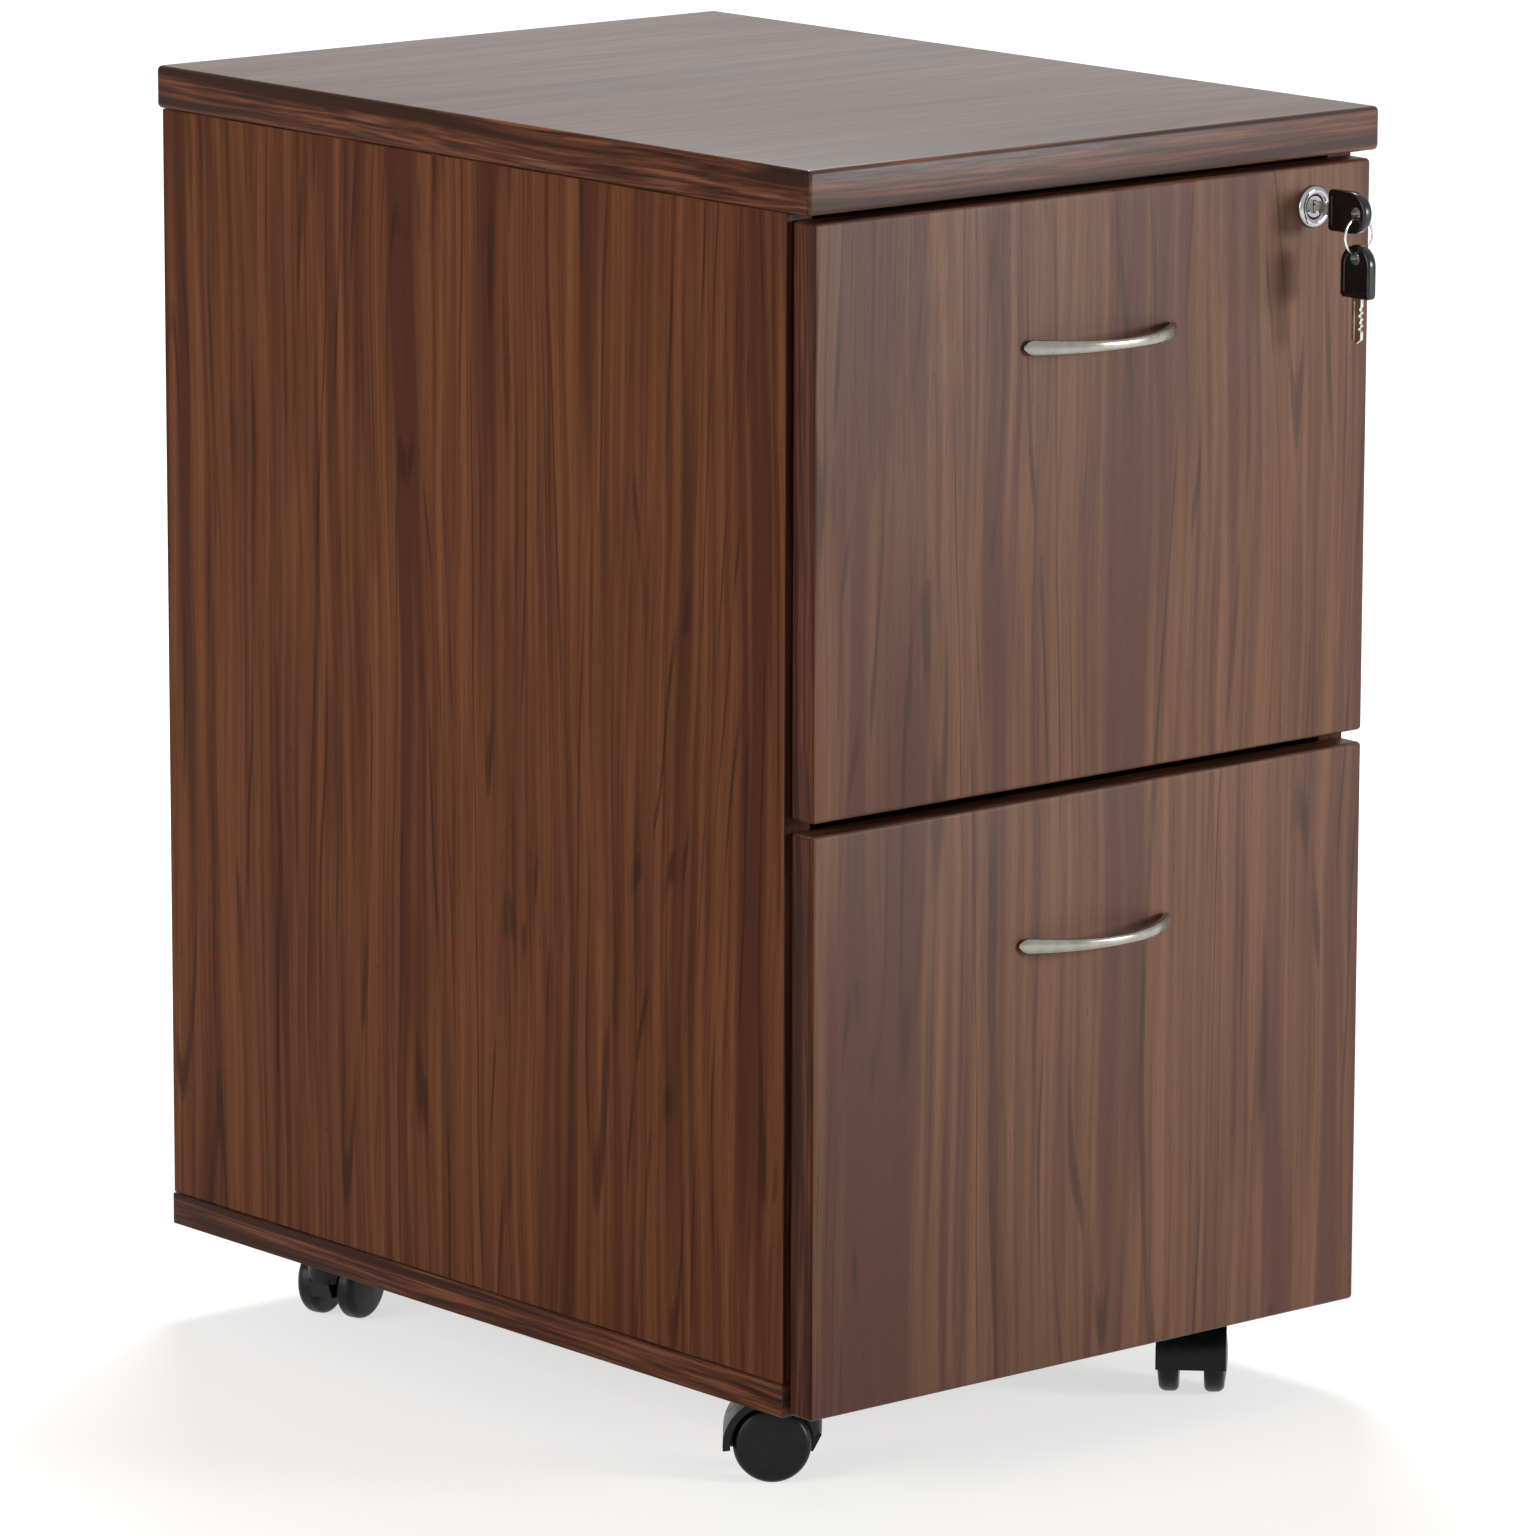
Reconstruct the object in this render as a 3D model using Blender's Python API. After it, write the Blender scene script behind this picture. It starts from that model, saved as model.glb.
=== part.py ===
"""Two-drawer mobile filing pedestal: laminated carcass, two full-extension file drawers with
bow handles, a central lock with its two keys on a split ring, and four hooded twin-wheel castors.

Frame: origin on the floor under the middle of the bounding box, +Z up, drawer fronts towards -Y,
+X to the right of someone who faces the drawers. Lengths are in metres.
"""

import math

import bmesh
import bpy
from mathutils import Matrix, Vector

# ---- carcass ----
TOP_WIDTH = 0.4064
TOP_DEPTH = 0.5588
TOP_THICKNESS = 0.024
TOP_EDGE_RADIUS = 0.003
BODY_HEIGHT = 0.665
PANEL_THICKNESS = 0.018
PANEL_EDGE_RADIUS = 0.0012
BACK_THICKNESS = 0.015
BACK_INSET = 0.0015
TOP_SIDE_OVERHANG = 0.0022
TOP_BACK_OVERHANG = 0.0028
SIDE_FRONT_SETBACK = 0.0199
BOTTOM_SIDE_PROUD = 0.0009
JOINT_GAP = 0.0003
# How far joined shapes run into each other, and how far cutting shapes run past a face.
JOIN_OVERLAP = 0.001
CUT_PAST = 0.010

# ---- drawer fronts ----
FRONT_THICKNESS = 0.0183
FRONT_SETBACK = 0.0008
FRONT_SIDE_INSET = 0.0032
FRONT_TOP_GAP = 0.004
FRONT_MIDDLE_GAP = 0.0065
FRONT_BOTTOM_RISE = 0.001
FRONT_EDGE_RADIUS = 0.0025

# ---- drawer boxes ----
BOX_SIDE_THICKNESS = 0.012
BOX_TOP_DROP = 0.05375
BOX_BACK_DROP = 0.030
BOX_LENGTH = 0.460
BOX_RISE = 0.031
BOX_BOTTOM_THICKNESS = 0.005
BOX_BOTTOM_RISE = 0.012

# ---- ball-bearing slides ----
SLIDE_GAP = 0.0127
SLIDE_LENGTH = 0.450
SLIDE_HEIGHT = 0.045
SLIDE_STEEL = 0.0012
SLIDE_BALL_GAP = 0.0022
SLIDE_WEB_STEP = 0.0032
SLIDE_CABINET_DEPTH = 0.0095
SLIDE_MIDDLE_DEPTH = 0.0070
SLIDE_DRAWER_DEPTH = 0.0062
SLIDE_RISE = 0.100
SLIDE_FRONT_GAP = 0.002

# ---- hanging-file rails ----
RAIL_STEEL = 0.002
RAIL_LEG = 0.014
RAIL_SHELF = 0.009
RAIL_LIP = 0.004
RAIL_LENGTH = 0.420

# ---- bow handles ----
HANDLE_HALF_LENGTH = 0.056
HANDLE_PROJECTION = 0.025
HANDLE_THICKNESS = 0.0042
HANDLE_FOOT_HEIGHT = 0.0094
HANDLE_WAIST_HEIGHT = 0.0056
HANDLE_DROP = 0.0785
# Powers of the share of the half length: how the bow falls off, and how the bar grows taller.
HANDLE_BOW_POWER = 2.2
HANDLE_FOOT_POWER = 1.5
HANDLE_STATIONS = 20
HANDLE_SECTION_POINTS = 10

# ---- lock ----
LOCK_SIDE_INSET = 0.0431
LOCK_DROP = 0.0225
LOCK_FLANGE_RADIUS = 0.0116
LOCK_FLANGE_STAND = 0.003
LOCK_BARREL_RADIUS = 0.009
LOCK_BARREL_TAIL = 0.006
LOCK_PLUG_RADIUS = 0.0058
LOCK_PLUG_RECESS = 0.0018
LOCK_STEM_SIZE = 0.0056
RUNNING_GAP = 0.0003
CAM_LENGTH = 0.022
CAM_WIDTH = 0.010
CAM_THICKNESS = 0.0025
LOCK_LIFT = 0.009

# ---- locking bar in the right side panel, and its catches on the drawers ----
BAR_WIDTH = 0.012
BAR_THICKNESS = 0.005
BAR_FRONT_SETBACK = 0.005
BAR_GROOVE_GAP = 0.0006
BAR_TAIL = 0.020
BAR_TAB_REACH = 0.012
BAR_TAB_HEIGHT = 0.006
BAR_PIN_REACH = 0.0102
BAR_PIN_WIDTH = 0.006
BAR_PIN_HEIGHT = 0.005
CATCH_REACH = 0.008
CATCH_LENGTH = 0.010
CATCH_HEIGHT = 0.008
CATCH_DROP = 0.0193
CATCH_SLACK = 0.0012
CATCH_CLEARANCE = 0.004
CATCH_EDGE_RADIUS = 0.0008

# ---- keys ----
KEY_STANDOFF = 0.014
KEY_HEAD_LENGTH = 0.029
KEY_HEAD_WIDTH = 0.0225
KEY_HEAD_THICKNESS = 0.0062
KEY_HEAD_EDGE = 0.0012
KEY_HOLE_RADIUS = 0.0035
KEY_HOLE_INSET = 0.0075
KEY_BLADE_REACH = 0.0245
KEY_BLADE_TANG = 0.008
KEY_BLADE_WIDTH = 0.0068
KEY_BLADE_THICKNESS = 0.002
KEY_CUT_DEPTH = 0.0016
KEY_CUTS = 4
KEY_TIP_ROOM = 0.0015
RING_RADIUS = 0.0100
RING_WIRE_RADIUS = 0.00065
RING_DROP = 0.0021
RING_STEPS = 28
RING_WIRE_POINTS = 6
WHEEL_STEPS = 22

# ---- castors ----
CASTOR_HEIGHT = 0.053
CASTOR_SIDE_INSET = 0.0592
CASTOR_END_INSET = 0.0724
CASTOR_TRAIL = 0.015
CASTOR_PLATE_SIZE = 0.040
CASTOR_PLATE_THICKNESS = 0.002
CASTOR_PIN_RADIUS = 0.004
CASTOR_PIN_LENGTH = 0.016
CASTOR_PLATE_EDGE = 0.0006
HOOD_CLEARANCE = 0.001
HOOD_SIDE_SETBACK = 0.0003
WHEEL_RADIUS = 0.021
WHEEL_WIDTH = 0.0127
WHEEL_DOME = 0.0035
WHEEL_TREAD_RADIUS = 0.005
WHEEL_CORNER_RADIUS = 0.003
WHEEL_CROWN = 0.002
# The domed face as shares of the wheel's radius, and how far below its middle each stands.
WHEEL_DOME_STEPS = ((0.62, 0.0012), (0.32, 0.0002))
WEB_WIDTH = 0.0134
WHEEL_SIDE_GAP = 0.0004
STUB_RADIUS = 0.003
STUB_LENGTH = 0.008
FENDER_GAP = 0.0015
FENDER_THICKNESS = 0.004
FENDER_START = math.radians(-6)
FENDER_END = math.radians(128)
NECK_RADIUS = 0.0118
NECK_BOTTOM = 0.024
NECK_FLARE = 0.003
NECK_FLARE_HEIGHT = 0.004
NOSE_BOTTOM = 0.015
NOSE_REACH = 0.007
WEB_FOOT = 0.014
WEB_SEAT = 0.0002
WEB_START_TURN = math.radians(1.5)
# Direction from each swivel axis to its wheels, as an angle about +Z from +X.
CASTOR_HEADINGS = {
    "front_left": math.radians(139.5),
    "front_right": math.radians(225.0),
    "rear_left": math.radians(21.5),
    "rear_right": math.radians(60.0),
}

# ---- places worked out from the sizes above ----
KEY_AXIS_TO_TIP = KEY_HEAD_LENGTH - KEY_HOLE_INSET
FRONT_PROJECTION = KEY_STANDOFF + KEY_AXIS_TO_TIP + KEY_HEAD_WIDTH / 2
Y_SHIFT = (FRONT_PROJECTION - FRONT_SETBACK) / 2
TOP_FRONT_Y = Y_SHIFT - TOP_DEPTH / 2
TOP_BACK_Y = Y_SHIFT + TOP_DEPTH / 2
FACE_Y = TOP_FRONT_Y + FRONT_SETBACK
FRONT_BACK_Y = FACE_Y + FRONT_THICKNESS
SIDE_FRONT_Y = TOP_FRONT_Y + SIDE_FRONT_SETBACK
SIDE_BACK_Y = TOP_BACK_Y - TOP_BACK_OVERHANG
BASE_Z = CASTOR_HEIGHT
TOP_Z = BASE_Z + BODY_HEIGHT
TOP_UNDER_Z = TOP_Z - TOP_THICKNESS
FLOOR_Z = BASE_Z + PANEL_THICKNESS
SIDE_OUTER_X = TOP_WIDTH / 2 - TOP_SIDE_OVERHANG
SIDE_INNER_X = SIDE_OUTER_X - PANEL_THICKNESS
FRONT_HALF_WIDTH = SIDE_OUTER_X - FRONT_SIDE_INSET
BOX_OUTER_X = SIDE_INNER_X - SLIDE_GAP
BOX_INNER_X = BOX_OUTER_X - BOX_SIDE_THICKNESS
BOX_FRONT_Y = FRONT_BACK_Y + JOINT_GAP
BOX_BACK_Y = BOX_FRONT_Y + BOX_LENGTH
FRONT_HEIGHT = (
    BODY_HEIGHT - TOP_THICKNESS - FRONT_TOP_GAP - FRONT_MIDDLE_GAP - FRONT_BOTTOM_RISE
) / 2
BOX_SIDE_HEIGHT = FRONT_HEIGHT - BOX_RISE - BOX_TOP_DROP
BOX_BACK_HEIGHT = BOX_SIDE_HEIGHT - BOX_BACK_DROP
DRAWER_BASES = {
    "upper": BASE_Z + FRONT_BOTTOM_RISE + FRONT_HEIGHT + FRONT_MIDDLE_GAP,
    "lower": BASE_Z + FRONT_BOTTOM_RISE,
}
BAR_FRONT_Y = SIDE_FRONT_Y + BAR_FRONT_SETBACK
BAR_BACK_Y = BAR_FRONT_Y + BAR_WIDTH
BAR_INNER_X = SIDE_INNER_X
BAR_OUTER_X = BAR_INNER_X + BAR_THICKNESS
SLIDE_FRONT_Y = BAR_BACK_Y + BAR_GROOVE_GAP + SLIDE_FRONT_GAP
LOCK_X = FRONT_HALF_WIDTH - LOCK_SIDE_INSET
LOCK_Z = DRAWER_BASES["upper"] + FRONT_HEIGHT - LOCK_DROP
CAM_FRONT_Y = FRONT_BACK_Y + LOCK_BARREL_TAIL + RUNNING_GAP
KEY_HEAD_BACK_Y = FACE_Y - KEY_STANDOFF
KEY_HOLE_Y = KEY_HEAD_BACK_Y - KEY_AXIS_TO_TIP
RING_PIVOT_Z = LOCK_Z - RING_DROP
SPARE_PIVOT_Z = RING_PIVOT_Z - 2 * RING_RADIUS
HOOD_TOP_Z = CASTOR_HEIGHT - JOINT_GAP - CASTOR_PLATE_THICKNESS - HOOD_CLEARANCE
HOOD_HALF_WIDTH = WEB_WIDTH / 2 + WHEEL_SIDE_GAP + WHEEL_WIDTH - HOOD_SIDE_SETBACK


# ---- materials ----
def principled(name, colour, roughness, metallic=0.0):
    """One Principled BSDF material."""
    material = bpy.data.materials.new(name)
    material.use_nodes = True
    shader = material.node_tree.nodes["Principled BSDF"]
    shader.inputs["Base Color"].default_value = (*colour, 1.0)
    shader.inputs["Roughness"].default_value = roughness
    shader.inputs["Metallic"].default_value = metallic
    return material


def make_materials():
    """The finishes, by the name of the stuff."""
    return {
        "walnut": principled("walnut_laminate", (0.105, 0.045, 0.026), 0.42),
        "front": principled("walnut_front_laminate", (0.185, 0.105, 0.080), 0.42),
        "box": principled("drawer_box_laminate", (0.55, 0.52, 0.47), 0.55),
        "steel": principled("zinc_plated_steel", (0.60, 0.60, 0.58), 0.35, 1.0),
        "nickel": principled("brushed_nickel", (0.62, 0.60, 0.57), 0.30, 1.0),
        "chrome": principled("polished_chrome", (0.75, 0.75, 0.76), 0.10, 1.0),
        "black": principled("black_nylon", (0.012, 0.012, 0.014), 0.35),
    }


# ---- meshes ----
def mesh_of(name, bm):
    """A mesh from a bmesh, with its faces turned outwards."""
    bmesh.ops.recalc_face_normals(bm, faces=bm.faces)
    mesh = bpy.data.meshes.new(name)
    bm.to_mesh(mesh)
    bm.free()
    return mesh


def place(name, mesh, material, location=(0.0, 0.0, 0.0), parent=None, turn=0.0):
    """One named object with its own material slot."""
    obj = bpy.data.objects.new(name, mesh)
    bpy.context.scene.collection.objects.link(obj)
    obj.location = location
    obj.rotation_euler = (0.0, 0.0, turn)
    obj.parent = parent
    if not mesh.materials:
        mesh.materials.append(None)
    obj.material_slots[0].link = "OBJECT"
    obj.material_slots[0].material = material
    return obj


def block_mesh(name, low, high, radius=0.0, steps=1):
    """A box between two corners, with rounded edges."""
    low = Vector(low)
    size = Vector(high) - low
    bm = bmesh.new()
    bmesh.ops.create_cube(bm, size=1.0)
    bmesh.ops.scale(bm, vec=size, verts=bm.verts)
    bmesh.ops.translate(bm, vec=low + size / 2, verts=bm.verts)
    if radius:
        bmesh.ops.bevel(
            bm, geom=bm.edges[:], offset=radius, segments=steps, profile=0.5, affect="EDGES"
        )
    return mesh_of(name, bm)


def prism_mesh(name, outline, frame, depth):
    """A flat outline of (a, b) points, laid by frame and extruded by depth along frame's third axis."""
    bm = bmesh.new()
    corners = [bm.verts.new((a, b, 0.0)) for a, b in outline]
    face = bm.faces.new(corners)
    grown = bmesh.ops.extrude_face_region(bm, geom=[face])["geom"]
    top = [v for v in grown if isinstance(v, bmesh.types.BMVert)]
    bmesh.ops.translate(bm, vec=(0.0, 0.0, depth), verts=top)
    bmesh.ops.transform(bm, matrix=frame, verts=bm.verts)
    return mesh_of(name, bm)


def along_y(y=0.0):
    """Frame with outline a along X, b along Z, extruded towards +Y from y."""
    return Matrix(((1, 0, 0, 0), (0, 0, 1, y), (0, 1, 0, 0), (0, 0, 0, 1)))


def along_x(x=0.0):
    """Frame with outline a along Y, b along Z, extruded towards +X from x."""
    return Matrix(((0, 0, 1, x), (1, 0, 0, 0), (0, 1, 0, 0), (0, 0, 0, 1)))


def turned_mesh(name, profile, axis, steps):
    """A closed profile of (radius, height) points on the axis at both ends, turned about axis."""
    bm = bmesh.new()
    points = [bm.verts.new((radius, 0.0, height)) for radius, height in profile]
    edges = [bm.edges.new(pair) for pair in zip(points, points[1:])]
    bmesh.ops.spin(
        bm,
        geom=points + edges,
        cent=(0, 0, 0),
        axis=(0, 0, 1),
        angle=math.tau,
        steps=steps,
        use_merge=True,
    )
    bmesh.ops.remove_doubles(bm, verts=bm.verts, dist=1e-6)
    bmesh.ops.dissolve_degenerate(bm, edges=bm.edges, dist=1e-6)
    if axis == "Y":
        bmesh.ops.rotate(bm, matrix=Matrix.Rotation(-math.pi / 2, 3, "X"), verts=bm.verts)
    mesh = mesh_of(name, bm)
    mesh.shade_smooth()
    mesh.set_sharp_from_angle(angle=math.radians(35))
    return mesh


def arc(centre, radius, start, end, steps):
    """Points on an arc, both ends included."""
    turns = [start + (end - start) * step / steps for step in range(steps + 1)]
    return [(centre[0] + radius * math.cos(t), centre[1] + radius * math.sin(t)) for t in turns]


def solid(name, base, joined=(), removed=()):
    """The base mesh with other meshes joined to it and then cut from it."""
    work = bpy.data.objects.new("work", base)
    bpy.context.scene.collection.objects.link(work)
    tools = []
    for operation, meshes in (("UNION", joined), ("DIFFERENCE", removed)):
        for mesh in meshes:
            tool = bpy.data.objects.new("tool", mesh)
            bpy.context.scene.collection.objects.link(tool)
            tool.hide_render = True
            tool.display_type = "WIRE"
            modifier = work.modifiers.new(operation, "BOOLEAN")
            modifier.operation = operation
            modifier.object = tool
            tools.append(tool)
    evaluated = work.evaluated_get(bpy.context.evaluated_depsgraph_get())
    result = bpy.data.meshes.new_from_object(evaluated)
    result.name = name
    for obj in [work, *tools]:
        bpy.data.objects.remove(obj)
    result.set_sharp_from_angle(angle=math.radians(35))
    return result


# ---- carcass ----
def build_carcass(finish):
    """Top, bottom, two sides and back."""
    half_top = TOP_WIDTH / 2
    bottom_x = SIDE_OUTER_X + BOTTOM_SIDE_PROUD
    top = block_mesh(
        "top_panel",
        (-half_top, TOP_FRONT_Y, TOP_UNDER_Z),
        (half_top, TOP_BACK_Y, TOP_Z),
        TOP_EDGE_RADIUS,
        3,
    )
    place("top_panel", top, finish["walnut"])
    bottom = block_mesh(
        "bottom_panel",
        (-bottom_x, SIDE_FRONT_Y, BASE_Z),
        (bottom_x, SIDE_BACK_Y, FLOOR_Z),
        PANEL_EDGE_RADIUS,
    )
    place("bottom_panel", bottom, finish["walnut"])
    low_z = FLOOR_Z + JOINT_GAP
    high_z = TOP_UNDER_Z - JOINT_GAP
    left = block_mesh(
        "left_side_panel",
        (-SIDE_OUTER_X, SIDE_FRONT_Y, low_z),
        (-SIDE_INNER_X, SIDE_BACK_Y, high_z),
        PANEL_EDGE_RADIUS,
    )
    place("left_side_panel", left, finish["walnut"])
    right = block_mesh(
        "right_side_plain",
        (SIDE_INNER_X, SIDE_FRONT_Y, low_z),
        (SIDE_OUTER_X, SIDE_BACK_Y, high_z),
        PANEL_EDGE_RADIUS,
    )
    groove = block_mesh(
        "bar_groove",
        (BAR_INNER_X - CUT_PAST, BAR_FRONT_Y - BAR_GROOVE_GAP, bar_low_z() - BAR_GROOVE_GAP),
        (BAR_OUTER_X + BAR_GROOVE_GAP, BAR_BACK_Y + BAR_GROOVE_GAP, high_z + CUT_PAST),
    )
    right = solid("right_side_panel", right, removed=[groove])
    place("right_side_panel", right, finish["walnut"])
    back = block_mesh(
        "back_panel",
        (-SIDE_INNER_X + JOINT_GAP, SIDE_BACK_Y - BACK_INSET - BACK_THICKNESS, low_z),
        (SIDE_INNER_X - JOINT_GAP, SIDE_BACK_Y - BACK_INSET, high_z),
        PANEL_EDGE_RADIUS,
    )
    place("back_panel", back, finish["walnut"])


# ---- slides ----
def channel(web_x, lip_x, half_height):
    """C outline with its web at web_x and its two flanges reaching to lip_x."""
    inner_x = web_x + math.copysign(SLIDE_STEEL, lip_x - web_x)
    inner = half_height - SLIDE_STEEL
    return [
        (web_x, -half_height),
        (lip_x, -half_height),
        (lip_x, -inner),
        (inner_x, -inner),
        (inner_x, inner),
        (lip_x, inner),
        (lip_x, half_height),
        (web_x, half_height),
    ]


def build_slide(level, side, finish):
    """The three nested members of one slide."""
    sign = 1 if side == "right" else -1
    wall_x = SIDE_INNER_X - JOINT_GAP
    box_x = BOX_OUTER_X + JOINT_GAP
    step = SLIDE_STEEL + SLIDE_BALL_GAP
    half = SLIDE_HEIGHT / 2
    middle_x = wall_x - SLIDE_WEB_STEP
    members = {
        "cabinet_rail": (wall_x, wall_x - SLIDE_CABINET_DEPTH, half),
        "middle_rail": (middle_x, middle_x - SLIDE_MIDDLE_DEPTH, half - step),
        "drawer_rail": (box_x, box_x + SLIDE_DRAWER_DEPTH, half - 2 * step),
    }
    centre = (0.0, SLIDE_FRONT_Y, DRAWER_BASES[level] + BOX_RISE + SLIDE_RISE)
    for member, (web_x, lip_x, half_height) in members.items():
        name = f"{level}_{side}_{member}"
        outline = channel(sign * web_x, sign * lip_x, half_height)
        mesh = prism_mesh(name, outline, along_y(), SLIDE_LENGTH)
        place(name, mesh, finish["steel"], centre)


# ---- drawers ----
def build_front(level, finish):
    """A drawer front; the upper one is bored for the lock."""
    base = DRAWER_BASES[level]
    name = f"{level}_drawer_front"
    mesh = block_mesh(
        name,
        (-FRONT_HALF_WIDTH, FACE_Y, base),
        (FRONT_HALF_WIDTH, FRONT_BACK_Y, base + FRONT_HEIGHT),
        FRONT_EDGE_RADIUS,
        2,
    )
    if level == "upper":
        bore = LOCK_BARREL_RADIUS + RUNNING_GAP
        end = FRONT_THICKNESS + CUT_PAST
        profile = [(0, -CUT_PAST), (bore, -CUT_PAST), (bore, end), (0, end)]
        drill = turned_mesh("lock_bore", profile, "Y", 24)
        drill.transform(Matrix.Translation((LOCK_X, FACE_Y, LOCK_Z)))
        mesh = solid(name, mesh, removed=[drill])
    place(name, mesh, finish["front"])


def build_box(level, finish):
    """Drawer sides, back and bottom."""
    low = DRAWER_BASES[level] + BOX_RISE
    high = low + BOX_SIDE_HEIGHT
    for side, sign in (("left", -1), ("right", 1)):
        xs = sorted((sign * BOX_INNER_X, sign * BOX_OUTER_X))
        name = f"{level}_drawer_{side}_side"
        mesh = block_mesh(
            name, (xs[0], BOX_FRONT_Y, low), (xs[1], BOX_BACK_Y, high), PANEL_EDGE_RADIUS
        )
        place(name, mesh, finish["box"])
    inner = BOX_INNER_X - JOINT_GAP
    back_low = low + BOX_BOTTOM_RISE + BOX_BOTTOM_THICKNESS + JOINT_GAP
    name = f"{level}_drawer_back"
    mesh = block_mesh(
        name,
        (-inner, BOX_BACK_Y - BOX_SIDE_THICKNESS, back_low),
        (inner, BOX_BACK_Y, low + BOX_BACK_HEIGHT),
        PANEL_EDGE_RADIUS,
    )
    place(name, mesh, finish["box"])
    name = f"{level}_drawer_bottom"
    mesh = block_mesh(
        name,
        (-inner, BOX_FRONT_Y, low + BOX_BOTTOM_RISE),
        (inner, BOX_BACK_Y, low + BOX_BOTTOM_RISE + BOX_BOTTOM_THICKNESS),
    )
    place(name, mesh, finish["box"])


def build_hanging_rails(level, finish):
    """Steel strips over the drawer sides that carry hanging folders."""
    top = DRAWER_BASES[level] + BOX_RISE + BOX_SIDE_HEIGHT + JOINT_GAP
    leg_x = BOX_INNER_X - JOINT_GAP
    outline = [
        (leg_x, top - RAIL_LEG),
        (leg_x, top),
        (leg_x + RAIL_SHELF, top),
        (leg_x + RAIL_SHELF, top + RAIL_STEEL),
        (leg_x, top + RAIL_STEEL),
        (leg_x, top + RAIL_LIP),
        (leg_x - RAIL_STEEL, top + RAIL_LIP),
        (leg_x - RAIL_STEEL, top - RAIL_LEG),
    ]
    start = BOX_FRONT_Y + (BOX_LENGTH - RAIL_LENGTH) / 2
    for side, sign in (("left", -1), ("right", 1)):
        name = f"{level}_{side}_hanging_rail"
        mirrored = [(sign * x, z) for x, z in outline]
        mesh = prism_mesh(name, mirrored, along_y(), RAIL_LENGTH)
        place(name, mesh, finish["steel"], (0.0, start, 0.0))


# ---- handles ----
def handle_mesh():
    """A bow whose oval section is taller at its feet; the feet stand on the plane y = 0."""
    bm = bmesh.new()
    rings = []
    for station in range(HANDLE_STATIONS + 1):
        share = -math.cos(math.pi * station / HANDLE_STATIONS)
        bow = 1 - abs(share) ** HANDLE_BOW_POWER
        slope = HANDLE_BOW_POWER * abs(share) ** (HANDLE_BOW_POWER - 1)
        slope *= HANDLE_PROJECTION / HANDLE_HALF_LENGTH
        tilt = math.atan(slope) * math.copysign(1, -share)
        growth = (HANDLE_FOOT_HEIGHT - HANDLE_WAIST_HEIGHT) * abs(share) ** HANDLE_FOOT_POWER
        height = HANDLE_WAIST_HEIGHT + growth
        middle = HANDLE_PROJECTION - HANDLE_THICKNESS / 2
        centre_x = share * (HANDLE_HALF_LENGTH - HANDLE_THICKNESS / 2)
        centre_y = -middle * bow
        ring = []
        for point in range(HANDLE_SECTION_POINTS):
            turn = math.tau * point / HANDLE_SECTION_POINTS
            out = HANDLE_THICKNESS / 2 * math.cos(turn)
            x = centre_x - out * math.sin(tilt)
            y = min(centre_y - out * math.cos(tilt), -JOINT_GAP)
            ring.append(bm.verts.new((x, y, height / 2 * math.sin(turn))))
        rings.append(ring)
    for ring, following in zip(rings, rings[1:]):
        for point in range(HANDLE_SECTION_POINTS):
            after = (point + 1) % HANDLE_SECTION_POINTS
            bm.faces.new((ring[point], ring[after], following[after], following[point]))
    bm.faces.new(rings[0])
    bm.faces.new(rings[-1])
    mesh = mesh_of("bow_handle", bm)
    mesh.shade_smooth()
    mesh.set_sharp_from_angle(angle=math.radians(50))
    return mesh


def build_handles(finish):
    """One bow handle on each front."""
    mesh = handle_mesh()
    for level, base in DRAWER_BASES.items():
        location = (0.0, FACE_Y, base + FRONT_HEIGHT - HANDLE_DROP)
        place(f"{level}_handle", mesh, finish["nickel"], location)


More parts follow.
